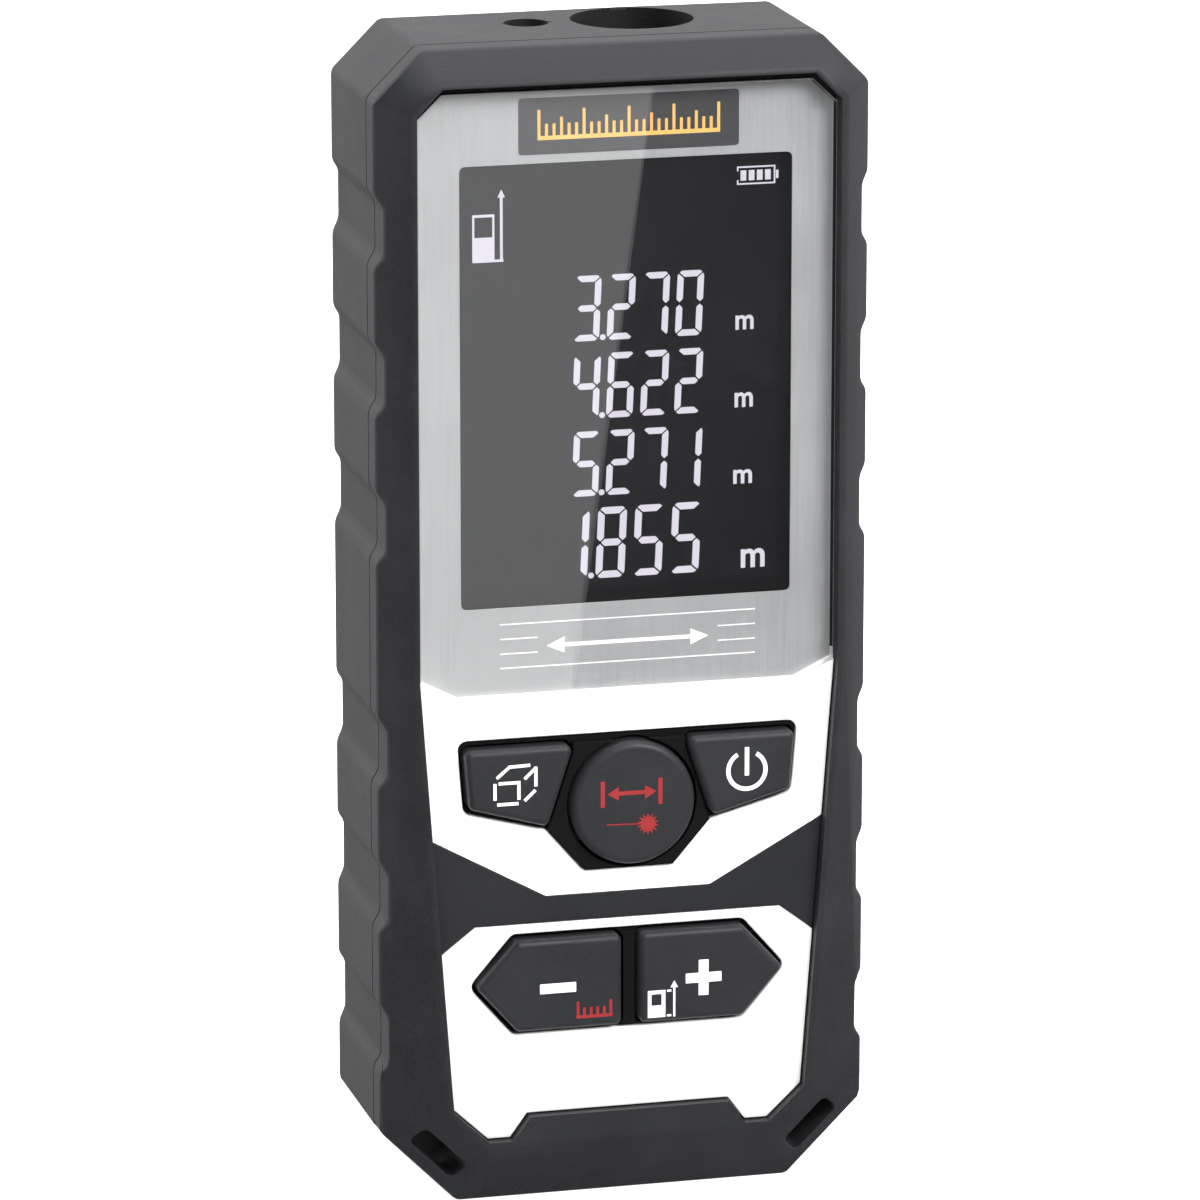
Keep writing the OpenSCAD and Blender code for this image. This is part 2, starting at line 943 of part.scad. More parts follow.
module lens_ring() {
    color(hard_black)
        difference() {
            rod_z(receiver_x, optics_y, lens_r, lens_low_z + rim_t, lens_z + 2.2);
            translate([receiver_x, optics_y, lens_low_z + rim_t - thin])
                cylinder(h = 2.4 + 2 * thin, r1 = lens_r - 1, r2 = lens_r - 0.3);
        }
}

module optical_filter() {
    color("#7a1f24", 0.8)
        rod_z(receiver_x, optics_y, filter_r, filter_z, filter_z + filter_t);
}

module photodiode() {
    color(steel) {
        rod_z(receiver_x, optics_y, 2.5, optics_low_z, optics_low_z + 0.8);
        rod_z(receiver_x, optics_y, 2, optics_low_z + 0.8, optics_low_z + 3);
    }
}

sensor_half_w = 6;
sensor_half_d = 5.6;
sensor_t = 1.2;

module sensor_board() {
    color(board_green)
        block(
            [receiver_x - sensor_half_w, optics_y - sensor_half_d, optics_low_z - sensor_t],
            [receiver_x + sensor_half_w, optics_y + sensor_half_d, optics_low_z]
        );
}

module aperture_gasket() {
    color(hard_black)
        difference() {
            union() {
                rod_z(laser_x, optics_y, barrel_r + barrel_wall, block_top_z, port_floor_z);
                rod_z(receiver_x, optics_y, tube_r, block_top_z, port_floor_z);
            }
            rod_z(laser_x, optics_y, laser_port_r + 0.2, block_top_z - 1, port_floor_z + 1);
            rod_z(receiver_x, optics_y, receiver_port_r + 0.1, block_top_z - 1, port_floor_z + 1);
        }
}

// ---- battery bay ----

rib_pitch = 1.6;
rib_t = 0.7;
rib_half_w = 7;
rib_depth = 0.5;
seal_margin = 1.6;
seal_w = 1;
seal_depth = 0.25;

module battery_door() {
    color(soft_black)
        difference() {
            union() {
                block([-door_half_w, door_y, hinge_z], [door_half_w, back_y, door_high_z]);
                // rounded hinge edge and its two trunnions
                translate([0, hinge_y, hinge_z])
                    rotate([0, 90, 0]) {
                        cylinder(h = 2 * door_half_w, r = door_t / 2, center = true);
                        cylinder(h = 2 * (door_half_w + trunnion_l), r = trunnion_r, center = true);
                    }
            }
            // grip lines across the free end
            for (i = [0:4])
                translate([0, back_y, door_high_z - 10 + rib_pitch * i])
                    block([-rib_half_w, -rib_depth, 0], [rib_half_w, 1, rib_t]);
        }
}

// A square-cornered sheet round the bay's mouth
module bay_sheet(margin, from_y, to_y) {
    block(
        [-bay_half_w - margin, from_y, bay_low_z - margin],
        [bay_half_w + margin, to_y, bay_high_z + margin]
    );
}

module door_seal() {
    color("#3b3d41")
        difference() {
            bay_sheet(seal_margin, door_y - seal_depth, door_y);
            bay_sheet(seal_margin - seal_w, door_y - 1, door_y + 1);
        }
}

nub_r = 1.9;
nub_h = 0.8;

// One cell with its nub at the upper end
module cell() {
    rod_z(0, 0, cell_r, 0, cell_l - nub_h);
    rod_z(0, 0, nub_r, cell_l - nub_h, cell_l);
}

module battery_left() {
    color("#c9772f")
        translate([-cell_x, cell_y, cell_low_z + cell_l])
            mirror([0, 0, 1])
                cell();
}

module battery_right() {
    color("#c9772f")
        translate([cell_x, cell_y, cell_low_z])
            cell();
}

// Round-wire coil, drawn as rings of points that climb a widening helix
wire_r = 0.28;
wire_sides = 6;
coil_turns = 3;
ring_per_turn = 12;

function coil_centre(t, height, low_r, high_r) =
    let(r = low_r + (high_r - low_r) * t, a = 360 * coil_turns * t)
    [r * cos(a), r * sin(a), wire_r + (height - 2 * wire_r) * t];

module coil(height, low_r, high_r) {
    rings = coil_turns * ring_per_turn;
    points = [
        for (i = [0:rings])
            let(
                t = i / rings,
                middle = coil_centre(t, height, low_r, high_r),
                a = 360 * coil_turns * t,
                out = [cos(a), sin(a), 0]
            )
            for (j = [0:wire_sides - 1])
                middle + wire_r * (cos(360 * j / wire_sides) * out + [0, 0, sin(360 * j / wire_sides)])
    ];
    sides = [
        for (i = [0:rings - 1], j = [0:wire_sides - 1])
            let(k = (j + 1) % wire_sides)
            [i * wire_sides + j, i * wire_sides + k, (i + 1) * wire_sides + k, (i + 1) * wire_sides + j]
    ];
    ends = [
        [for (j = [wire_sides - 1:-1:0]) j],
        [for (j = [0:wire_sides - 1]) rings * wire_sides + j]
    ];
    polyhedron(points, concat(sides, ends), convexity = 10);
}

contact_t = 0.4;
contact_half_w = 4.2;
contact_half_d = 4.4;
dimple_r = 2.4;
tail_half_w = 1.5;
spring_wide_r = 3.6;
spring_tip_r = 1.6;
spring_low_h = cell_low_z - bay_low_z - contact_t;
spring_high_h = bay_high_z - contact_t - cell_low_z - cell_l;

module battery_springs() {
    color(steel) {
        translate([cell_x, cell_y, bay_low_z + contact_t])
            coil(spring_low_h, spring_wide_r, spring_tip_r);
        translate([-cell_x, cell_y, bay_high_z - contact_t])
            mirror([0, 0, 1])
                coil(spring_high_h, spring_wide_r, spring_tip_r);
    }
}

// Plate across both cells at the lower end, with a dimple for the left cell's nub
module contact_bridge() {
    color(steel) {
        block(
            [-cell_x - contact_half_d, cell_y - contact_half_d, bay_low_z],
            [cell_x + contact_half_d, cell_y + contact_half_d, bay_low_z + contact_t]
        );
        rod_z(-cell_x, cell_y, dimple_r, bay_low_z + contact_t, cell_low_z);
    }
}

// Upper contact, with a tail through the bay wall to the board
module upper_contact(x) {
    from_z = bay_high_z - contact_t;
    block(
        [x - contact_half_w, cell_y - contact_half_d, from_z],
        [x + contact_half_w, cell_y + contact_half_d, bay_high_z]
    );
    block([x - tail_half_w, board_back_y, from_z], [x + tail_half_w, cell_y - contact_half_d, bay_high_z]);
}

module contact_negative() {
    color(steel)
        upper_contact(-cell_x);
}

module contact_positive() {
    color(steel) {
        upper_contact(cell_x);
        rod_z(cell_x, cell_y, dimple_r, cell_low_z + cell_l, bay_high_z - contact_t);
    }
}

rear_cover();
front_frame();
front_panel();
waist_band();
display_window();
window_mask();
lcd_panel();
lcd_holder();
backlight();
lcd_connector();
keypad_mat();
key_area();
key_measure();
key_power();
key_minus();
key_plus();
pill_area();
pill_measure();
pill_power();
pill_minus();
pill_plus();
contact_pads();
main_board();
main_chip();
driver_chip();
timing_crystal();
board_capacitors();
buzzer();
board_screws();
optics_block();
laser_barrel();
laser_diode();
collimator_lens();
laser_window();
receiver_lens();
lens_ring();
lens_seal();
optical_filter();
photodiode();
sensor_board();
aperture_gasket();
optics_screws();
housing_gasket();
housing_screws();
battery_door();
door_seal();
battery_left();
battery_right();
battery_springs();
contact_bridge();
contact_positive();
contact_negative();
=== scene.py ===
"""Handheld laser distance meter: the look of every piece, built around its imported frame."""

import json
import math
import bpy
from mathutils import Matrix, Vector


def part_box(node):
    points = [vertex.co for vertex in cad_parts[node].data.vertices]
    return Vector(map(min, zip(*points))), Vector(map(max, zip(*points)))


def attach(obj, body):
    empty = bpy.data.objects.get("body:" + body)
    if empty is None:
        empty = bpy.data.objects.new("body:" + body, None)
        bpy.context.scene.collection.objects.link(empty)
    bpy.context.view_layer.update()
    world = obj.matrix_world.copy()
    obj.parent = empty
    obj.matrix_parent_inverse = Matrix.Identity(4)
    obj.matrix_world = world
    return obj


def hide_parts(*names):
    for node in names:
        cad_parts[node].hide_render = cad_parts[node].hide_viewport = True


bl_info = {
    "name": "Laser Distance Meter",
    "version": (1, 0, 0),
    "blender": (4, 5, 0),
    "location": "3D View > Sidebar > Distance Meter",
    "description": "Models a handheld laser distance meter around its packed frame",
    "category": "Object",
}

from functools import partial

import bmesh
import bpy
from mathutils import Vector

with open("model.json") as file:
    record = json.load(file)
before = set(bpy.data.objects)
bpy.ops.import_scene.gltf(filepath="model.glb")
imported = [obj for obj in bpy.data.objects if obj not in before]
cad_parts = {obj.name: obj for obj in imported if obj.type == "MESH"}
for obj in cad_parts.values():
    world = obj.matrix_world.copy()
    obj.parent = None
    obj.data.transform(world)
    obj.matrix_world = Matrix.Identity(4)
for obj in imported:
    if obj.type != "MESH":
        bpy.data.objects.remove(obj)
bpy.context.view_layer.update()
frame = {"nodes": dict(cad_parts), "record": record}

MM = 0.001
FRONT = (math.pi / 2, 0, 0)
MERGE, CAD_MERGE = 1e-7, 1e-6
FLAT = math.radians(0.5)

# Rows through the depth, in metres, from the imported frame
key_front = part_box("key_measure")[0].y
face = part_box("front_panel")[0].y
film_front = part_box("window_mask")[0].y
glass_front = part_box("lcd_panel")[0].y
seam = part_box("rear_cover")[0].y
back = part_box("rear_cover")[1].y
half_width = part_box("rear_cover")[1].x
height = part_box("rear_cover")[1].z


def from_hex(code):
    """An sRGB hex colour as the linear values that Blender works in."""
    parts = [int(code[i : i + 2], 16) / 255 for i in (1, 3, 5)]
    return [c / 12.92 if c <= 0.04045 else ((c + 0.055) / 1.055) ** 2.4 for c in parts]


def colour_property(name, description, code):
    return bpy.props.FloatVectorProperty(
        name=name, description=description, default=from_hex(code), size=3, subtype="COLOR", min=0, max=1
    )


def length_property(name, description, millimetres):
    return bpy.props.FloatProperty(
        name=name, description=description, default=millimetres * MM, unit="LENGTH", subtype="DISTANCE", min=0
    )


def power_property(name, description, watts):
    return bpy.props.FloatProperty(name=name, description=description, default=watts, unit="POWER", min=0)


def number_property(name, description, value, **limits):
    return bpy.props.FloatProperty(name=name, description=description, default=value, **limits)


class MeterShape(bpy.types.PropertyGroup):
    grip_rounding: length_property("Grip rounding", "Radius along the grip notches and side corners", 0.6)
    rim_rounding: length_property("Rim rounding", "Radius where the bezel meets the sides", 0.35)
    back_rounding: length_property("Back rounding", "Radius round the back face", 0.35)
    key_rounding: length_property("Key rounding", "Radius round the face of the shaped keys", 0.65)
    round_key_rounding: length_property("Round key rounding", "Radius round the face of the round key", 0.8)
    ink: length_property("Ink thickness", "How far a key print stands on its key", 0.04)
    lit: length_property("Lit thickness", "How far a lit mark stands on the display glass", 0.03)


class MeterDisplay(bpy.types.PropertyGroup):
    readings: bpy.props.StringProperty(
        name="Readings", description="The four readings, from the top", default="3.270 4.622 5.271 1.855"
    )
    digit_width: length_property("Digit width", "Width of one digit", 2.8)
    digit_height: length_property("Digit height", "Height of one digit", 6.8)
    stroke: length_property("Stroke", "Width of a lit segment", 0.66)
    pitch: length_property("Pitch", "Distance from one digit to the next", 3.6)
    slant: number_property("Slant", "Sideways lean of a digit for each unit of height", 0.045)
    last_row_scale: number_property("Last row scale", "Size of the lowest reading beside the others", 1.096)


class MeterColours(bpy.types.PropertyGroup):
    housing: colour_property("Housing", "Soft rubber of the housing", "#202125")
    keys: colour_property("Keys", "Rubber of the keys", "#232428")
    fascia: colour_property("Fascia", "Gloss face below the window", "#f2f2ef")
    inlay: colour_property("Inlay", "Inlay across the fascia", "#202125")
    film: colour_property("Film", "Silver film behind the window", "#a7a7a8")
    plate: colour_property("Plate", "Name plate printed on the film", "#38383a")
    display: colour_property("Display", "Unlit display glass", "#101014")
    lit: colour_property("Lit marks", "Lit segments", "#efe9f5")
    white_ink: colour_property("White ink", "White marks", "#f4f4f4")
    red_ink: colour_property("Red ink", "Red marks on the keys", "#93191c")
    orange_ink: colour_property("Orange ink", "Scale on the name plate", "#f0b464")


class MeterStage(bpy.types.PropertyGroup):
    key_power: power_property("Key light", "Power of the softbox in front", 13)
    side_power: power_property("Side light", "Power of the softbox on the right, half the left one's", 2)
    front_power: power_property("Front light", "Power of the softbox that lifts the floor in front", 6)
    overhead_power: power_property("Overhead light", "Power of the softbox above", 7)
    glare_power: power_property("Window glare", "Power of the panel that mirrors in the window", 0.0175)
    front_sky: number_property("Front sky", "Brightness of the surroundings in front", 0.12, min=0)
    back_sky: number_property("Back sky", "Brightness of the surroundings behind", 1.0, min=0)
    low_sky: number_property("Low sky", "Share of that brightness left below the horizon", 0.3, min=0)
    lens: number_property("Lens", "Focal length in millimetres on a 36 mm sensor", 227.04, min=1)


def colours():
    return bpy.context.scene.meter_colours


# ---- selecting and shaping ----


def drop_selection():
    active = bpy.context.view_layer.objects.active
    if active and active.mode != "OBJECT":
        bpy.ops.object.mode_set(mode="OBJECT")
    bpy.ops.object.select_all(action="DESELECT")


def take(piece):
    """Makes the piece the active one, and the only one selected."""
    drop_selection()
    piece.select_set(True)
    bpy.context.view_layer.objects.active = piece
    return piece


def open_edit(piece, kind):
    """Opens the piece in edit mode to work on its VERT, EDGE or FACE parts."""
    take(piece)
    bpy.ops.object.mode_set(mode="EDIT")
    bpy.ops.mesh.select_mode(type=kind)


def open_whole(piece):
    """Opens the piece in edit mode with all of it selected."""
    open_edit(piece, "FACE")
    bpy.ops.mesh.select_all(action="SELECT")


def close_edit():
    bpy.ops.object.mode_set(mode="OBJECT")


def close_solid():
    """Turns every face of the piece outward and leaves edit mode."""
    bpy.ops.mesh.select_all(action="SELECT")
    bpy.ops.mesh.normals_make_consistent(inside=False)
    close_edit()


def pick(piece, parts, test):
    """In edit mode, selects the verts, edges or faces that pass a test, and returns how many do."""
    bpy.ops.mesh.select_all(action="DESELECT")
    mesh = bmesh.from_edit_mesh(piece.data)
    chosen = [part for part in getattr(mesh, parts) if test(part)]
    for part in chosen:
        part.select = True
    mesh.select_flush_mode()
    bmesh.update_edit_mesh(piece.data)
    return len(chosen)


def settle(piece):
    """Puts the piece's place, turn and size into its mesh."""
    take(piece)
    bpy.ops.object.transform_apply(location=True, rotation=True, scale=True)


def apply_modifier(piece, kind, **settings):
    take(piece)
    modifier = piece.modifiers.new(kind.title(), kind)
    for name, value in settings.items():
        setattr(modifier, name, value)
    bpy.ops.object.modifier_apply(modifier=modifier.name)


def shade(piece, degrees=32):
    """Smooth shading that keeps the large faces flat and the sharp edges sharp."""
    take(piece)
    bpy.ops.object.shade_smooth_by_angle(angle=math.radians(degrees), keep_sharp_edges=False)
    apply_modifier(piece, "WEIGHTED_NORMAL", keep_sharp=True)


def join(name, parts):
    take(parts[0])
    for part in parts[1:]:
        part.select_set(True)
    if len(parts) > 1:
        bpy.ops.object.join()
    whole = bpy.context.view_layer.objects.active
    whole.name = whole.data.name = name
    settle(whole)
    return whole


def copy_node(node, name):
    """A merged copy of a CAD node's mesh, free to be shaped."""
    piece = bpy.data.objects.new(name, frame["nodes"][node].data.copy())
    bpy.context.collection.objects.link(piece)
    piece.data.materials.clear()
    take(piece)
    bpy.ops.mesh.customdata_custom_splitnormals_clear()
    open_whole(piece)
    bpy.ops.mesh.remove_doubles(threshold=CAD_MERGE)
    bpy.ops.mesh.dissolve_limited(angle_limit=FLAT)
    close_edit()
    return piece


def copy_piece(piece, name):
    double = bpy.data.objects.new(name, piece.data.copy())
    bpy.context.collection.objects.link(double)
    return double


def finish_piece(piece, body, slot, material, *nodes):
    """Gives a shaped piece its material and its body, and the CAD nodes that it stands for; its slot is not
    used.
    """
    settle(piece)
    piece.data.materials.clear()
    piece.data.materials.append(material)
    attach(piece, body)
    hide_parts(*nodes)
    return piece


def line_faces(piece, material, test):
    """Gives the faces that pass a test a second material."""
    piece.data.materials.append(material)
    piece.active_material_index = len(piece.data.materials) - 1
    open_edit(piece, "FACE")
    if not pick(piece, "faces", test):
        raise RuntimeError(f"{piece.name}: no face for {material.name}")
    bpy.ops.object.material_slot_assign()
    close_edit()


# ---- tests that pick edges by their place ----

NEAR = 0.03 * MM


def sharp(edge, degrees=12):
    return len(edge.link_faces) == 2 and edge.calc_face_angle() > math.radians(degrees)


def along_depth(edge):
    a, b = (v.co for v in edge.verts)
    return abs(a.x - b.x) < NEAR and abs(a.z - b.z) < NEAR


def at_depth(edge, depth):
    return all(abs(v.co.y - depth) < NEAR for v in edge.verts)


def outside(edge):
    """True for an edge on the housing's outer outline."""
    return all(
        abs(v.co.x) > half_width - 1.5 * MM or v.co.z < 0.5 * MM or v.co.z > height - 0.5 * MM
        for v in edge.verts
    )


def soften(piece, classes, segments=4):
    """Rounds edges with one bevel: each class is a radius and a test, and the first test that fits counts."""
    widest = max(radius for radius, test in classes)
    open_edit(piece, "EDGE")
    done = set()
    for radius, test in classes:

        def fresh(edge):
            if edge.index in done or not sharp(edge) or not test(edge):
                return False
            done.add(edge.index)
            return True

        bmesh.from_edit_mesh(piece.data).edges.index_update()
        if not pick(piece, "edges", fresh):
            raise RuntimeError(f"{piece.name}: no edge to round by {radius / MM:.2f} mm")
        bpy.ops.transform.edge_bevelweight(value=radius / widest)
    close_edit()
    apply_modifier(
        piece, "BEVEL", width=widest, segments=segments, limit_method="WEIGHT", use_clamp_overlap=False
    )
    shade(piece)


def ease(piece, radius, segments=2, degrees=35):
    """Rounds every edge sharper than an angle by a small radius."""
    apply_modifier(
        piece, "BEVEL", width=radius, segments=segments, limit_method="ANGLE",
        angle_limit=math.radians(degrees), use_clamp_overlap=True,
    )
    shade(piece)


# ---- flat marks: places are [x, z] in millimetres, seen from the front ----


def outline_plate(corners, front, rear):
    """A flat plate with the given corners."""
    bpy.ops.mesh.primitive_circle_add(
        vertices=len(corners), radius=MM, fill_type="NGON", location=(0, rear, 0), rotation=FRONT
    )
    plate = bpy.context.object
    settle(plate)
    open_edit(plate, "VERT")
    for number, (x, z) in enumerate(corners):
        mesh = bmesh.from_edit_mesh(plate.data)
        mesh.verts.ensure_lookup_table()
        start = mesh.verts[number].co.copy()
        pick(plate, "verts", lambda v: v.index == number)
        bpy.ops.transform.translate(value=(x * MM - start.x, 0, z * MM - start.z))
    bpy.ops.mesh.select_all(action="SELECT")
    bpy.ops.mesh.extrude_region_move(TRANSFORM_OT_translate={"value": (0, front - rear, 0)})
    close_solid()
    return plate


def bar(x0, z0, x1, z1, width, front, rear):
    """A straight stroke from one point to another."""
    bpy.ops.mesh.primitive_cube_add(
        size=1,
        location=((x0 + x1) / 2 * MM, (front + rear) / 2, (z0 + z1) / 2 * MM),
        rotation=(0, -math.atan2(z1 - z0, x1 - x0), 0),
        scale=(math.hypot(x1 - x0, z1 - z0) * MM, rear - front, width * MM),
    )
    return bpy.context.object


def arc(x, z, radius, width, start, sweep, front, rear):
    """A round stroke: angles in degrees run clockwise from the top."""
    a = math.radians(start)
    bpy.ops.mesh.primitive_plane_add(
        size=1,
        location=((x + radius * math.sin(a)) * MM, (front + rear) / 2, (z + radius * math.cos(a)) * MM),
        rotation=(0, math.pi / 2 + a, 0),
    )
    stroke = bpy.context.object
    stroke.scale = (width * MM, rear - front, 1)
    settle(stroke)
    open_whole(stroke)
    bpy.ops.mesh.spin(
        steps=max(8, round(sweep / 6)), angle=math.radians(sweep), center=(x * MM, 0, z * MM), axis=(0, -1, 0)
    )
    bpy.ops.mesh.select_all(action="SELECT")
    bpy.ops.mesh.remove_doubles(threshold=MERGE)
    close_solid()
    return stroke


def ring_points(x, z, radii, count):
    """Points round a centre that take each radius in turn."""
    return [
        (x + radii[i % len(radii)] * math.sin(math.tau * i / count),
         z + radii[i % len(radii)] * math.cos(math.tau * i / count))
        for i in range(count)
    ]


def box_corners(x0, z0, x1, z1):
    return [(x0, z0), (x1, z0), (x1, z1), (x0, z1)]


def mark(name, front, rear, strokes=(), plates=(), arcs=(), corner=0.05):
    """One printed mark: straight strokes, cut plates and round strokes, with eased corners."""
    parts = [bar(*stroke, front, rear) for stroke in strokes]
    parts += [outline_plate(corners, front, rear) for corners in plates]
    parts += [arc(*round_stroke, front, rear) for round_stroke in arcs]
    whole = join(name, parts)
    if len(parts) > 1:
        open_whole(whole)
        bpy.ops.mesh.intersect_boolean(operation="UNION", use_self=True, solver="EXACT")
        bpy.ops.mesh.select_all(action="SELECT")
        bpy.ops.mesh.remove_doubles(threshold=MERGE)
        bpy.ops.mesh.dissolve_limited(angle_limit=FLAT)
        close_edit()
    if corner:
        open_edit(whole, "EDGE")
        pick(whole, "edges", lambda e: along_depth(e) and sharp(e, 25))
        bpy.ops.mesh.bevel(offset=corner * MM, segments=2, clamp_overlap=True)
        close_edit()
    return whole


def letter(text, x0, z0, x1, z1, front, rear):
    """A unit sign, made a mesh and fitted between two corners."""
    bpy.ops.object.text_add(rotation=FRONT)
    bpy.context.object.data.body = text
    bpy.context.object.data.offset = 0.02
    bpy.context.object.data.extrude = 0.1
    bpy.ops.object.convert(target="MESH")
    sign = bpy.context.object
    settle(sign)
    low, high = Vector(sign.bound_box[0]), Vector(sign.bound_box[6])
    size = high - low
    sign.scale = ((x1 - x0) * MM / size.x, (rear - front) / size.y, (z1 - z0) * MM / size.z)
    sign.location = (
        x0 * MM - low.x * sign.scale.x, front - low.y * sign.scale.y, z0 * MM - low.z * sign.scale.z
    )
    settle(sign)
    return sign


# ---- materials ----


def add_node(tree, kind, inputs=None, **properties):
    """Adds a node. An input is a value or an sRGB hex colour, or linked where it is (node, output)."""
    node = tree.nodes.new("ShaderNode" + kind)
    for name, value in properties.items():
        setattr(node, name, value)
    for name, value in (inputs or {}).items():
        if isinstance(value, tuple) and isinstance(value[0], bpy.types.Node):
            tree.links.new(value[0].outputs[value[1]], node.inputs[name])
        else:
            node.inputs[name].default_value = from_hex(value) + [1] if isinstance(value, str) else value
    return node


def open_material(name):
    """A new material, the function that adds its nodes, and its place on the piece."""
    material = bpy.data.materials.new(name)
    material.use_nodes = True
    material.node_tree.nodes.clear()
    add = partial(add_node, material.node_tree)
    return material, add, add("TexCoord")


def close_material(material, add, shader):
    add("OutputMaterial", {"Surface": (shader, 0)})
    return material


def use(build, *choices):
    """The material that a function makes, made once for each choice."""
    name = "_".join([build.__name__, *map(str, choices)])
    return bpy.data.materials.get(name) or build(name, *choices)


def toned(colour, share):
    """A colour, given by its values or in hex, made darker or lighter."""
    values = from_hex(colour) if isinstance(colour, str) else colour
    return [min(1, c * share) for c in values] + [1]


def moulded(name, colour, roughness, grain, relief, mottle=0.07, spread=0.07, drift=9, draw=1.0, **sockets):
    """A moulded or coated surface: grain in relief, with slow drifts in tone and gloss.

    Grain and drift are in millimetres across, and relief is in millimetres of height. A draw
    below 1 draws the grain out along the height."""
    material, add, place = open_material(name)
    drawn = add("Mapping", {"Vector": (place, "Object"), "Scale": (1.0, 1.0, draw)})
    fine = add("TexNoise", {
        "Vector": (drawn, 0), "Scale": 1 / (grain * MM), "Detail": 2.0, "Roughness": 0.55,
    })
    slow = add("TexNoise", {
        "Vector": (place, "Object"), "Scale": 1 / (drift * MM), "Detail": 3.0, "Roughness": 0.6,
    })
    both = add("Math", {0: (fine, 0), 1: (slow, 0)}, operation="ADD")
    share = add("MapRange", {"Value": (both, 0), "From Min": 0.7, "From Max": 1.3})
    tone = add("Mix", {
        0: (share, 0), 6: toned(colour, 1 - mottle), 7: toned(colour, 1 + mottle),
    }, data_type="RGBA")
    gloss = add("MapRange", {
        "Value": (both, 0), "From Min": 0.7, "From Max": 1.3,
        "To Min": max(0.02, roughness - spread), "To Max": min(1, roughness + spread),
    })
    bump = add("Bump", {"Height": (fine, 0), "Distance": relief * MM, "Strength": 1.0})
    shader = add("BsdfPrincipled", {
        "Base Color": (tone, 2), "Roughness": (gloss, 0), "Normal": (bump, 0), **sockets,
    })
    return close_material(material, add, shader)


def soft_touch_rubber(name):
    # Thermoplastic rubber over a moulded shell: charcoal and matt, with a fine grain and a pale graze.
    return moulded(name, colours().housing, 0.56, 0.3, 0.028, 0.24, 0.06, **{"Sheen Weight": 0.03})


def key_silicone(name):
    # Moulded silicone with a matt coat: a little smoother than the housing, so the edges catch the light.
    return moulded(name, colours().keys, 0.5, 0.26, 0.02, 0.2, 0.05, **{"Sheen Weight": 0.03})


def mat_silicone(name):
    # Uncoated moulded silicone: near black and dull in the gaps between the keys.
    return moulded(name, "#09090a", 0.8, 0.25, 0.012, 0.12, **{"Specular IOR Level": 0.25})


def gloss_abs(name):
    # Polished white ABS: a clear gloss with the faint waviness of a moulded face.
    return moulded(name, colours().fascia, 0.17, 3.5, 0.006, 0.01, 0.03, 20)


def satin_inlay(name):
    # Spark-textured black ABS: an even satin, a shade lighter than the rubber.
    return moulded(name, colours().inlay, 0.44, 0.16, 0.006, 0.07, 0.05)


def door_abs(name):
    # Spark-textured black ABS of the battery door: coarser than the inlay, to hide wear.
    return moulded(name, "#242528", 0.55, 0.35, 0.02, 0.08, 0.08)


def seal_rubber(name):
    # Extruded sealing rubber: dull black with a dusty bloom.
    return moulded(name, "#1c1c1e", 0.74, 0.3, 0.015, 0.18, 0.08, 3)


def carbon_rubber(name):
    # Carbon-filled contact pill: dead black with a faint graphite sparkle.
    return moulded(name, "#121213", 0.48, 0.1, 0.006, 0.35, 0.18)


def chip_epoxy(name):
    # Epoxy moulding compound: dark grey and dull, with fine filler showing.
    return moulded(name, "#1d1e20", 0.6, 0.12, 0.008, 0.2, 0.1)


def optics_nylon(name):
    # Glass-filled nylon of the optics carrier: deep black with a dry, streaky surface.
    return moulded(name, "#131315", 0.68, 0.4, 0.02, 0.22, 0.1, 5)


def white_abs(name):
    # White ABS of the display holder: bright and satin, so it sends light forward.
    return moulded(name, "#dfe2e2", 0.42, 0.3, 0.006, 0.03)


def screen_ink(name, colour):
    # Screen-printed ink: flat and dense, with a slight orange peel.
    return moulded(name, getattr(colours(), colour), 0.42, 0.14, 0.004, 0.04, 0.08, 2)


def brushed_film(name):
    # Silver film behind the window, brushed up and down: fine upright lines, and a slow drift in tone.
    return moulded(
        name, colours().film, 0.42, 0.25, 0.003, 0.07, 0.06, 14, draw=0.03,
        **{"Metallic": 0.35, "Specular IOR Level": 0.3},
    )


def plate_ink(name):
    # Dark grey ink of the name plate: dense and even beside the brushed silver.
    return moulded(name, colours().plate, 0.5, 0.15, 0.003, 0.04, 0.05)


def plated(name, colour, roughness, scratch=0.12, relief=0.003):
    """Bare or plated metal with fine drawn lines along its height."""
    material, add, place = open_material(name)
    stretch = add("Mapping", {"Vector": (place, "Object"), "Scale": (1.0, 1.0, 0.08)})
    lines = add("TexNoise", {
        "Vector": (stretch, 0), "Scale": 1 / (scratch * MM), "Detail": 3.0, "Roughness": 0.65,
    })
    stain = add("TexNoise", {"Vector": (place, "Object"), "Scale": 1 / (2.5 * MM), "Detail": 4.0})
    tone = add("Mix", {0: (stain, 0), 6: toned(colour, 0.82), 7: toned(colour, 1.1)}, data_type="RGBA")
    gloss = add("MapRange", {
        "Value": (lines, 0), "From Min": 0.3, "From Max": 0.7,
        "To Min": roughness - 0.08, "To Max": roughness + 0.12,
    })
    bump = add("Bump", {"Height": (lines, 0), "Distance": relief * MM, "Strength": 1.0})
    shader = add("BsdfPrincipled", {
        "Base Color": (tone, 2), "Roughness": (gloss, 0), "Normal": (bump, 0), "Metallic": 1.0,
    })
    return close_material(material, add, shader)


def nickel_steel(name):
    # Nickel-plated steel: a soft warm grey shine with drawn lines.
    return plated(name, "#b9b6ae", 0.28)


def turned_brass(name):
    # Turned brass of the laser barrel: yellow, with fine tool lines.
    return plated(name, "#c9a35a", 0.24, 0.2, 0.005)


def gold_flash(name):
    # Gold flash over the contact pads: warm and smooth, so it stays bright.
    return plated(name, "#dcb055", 0.2, 0.3, 0.002)


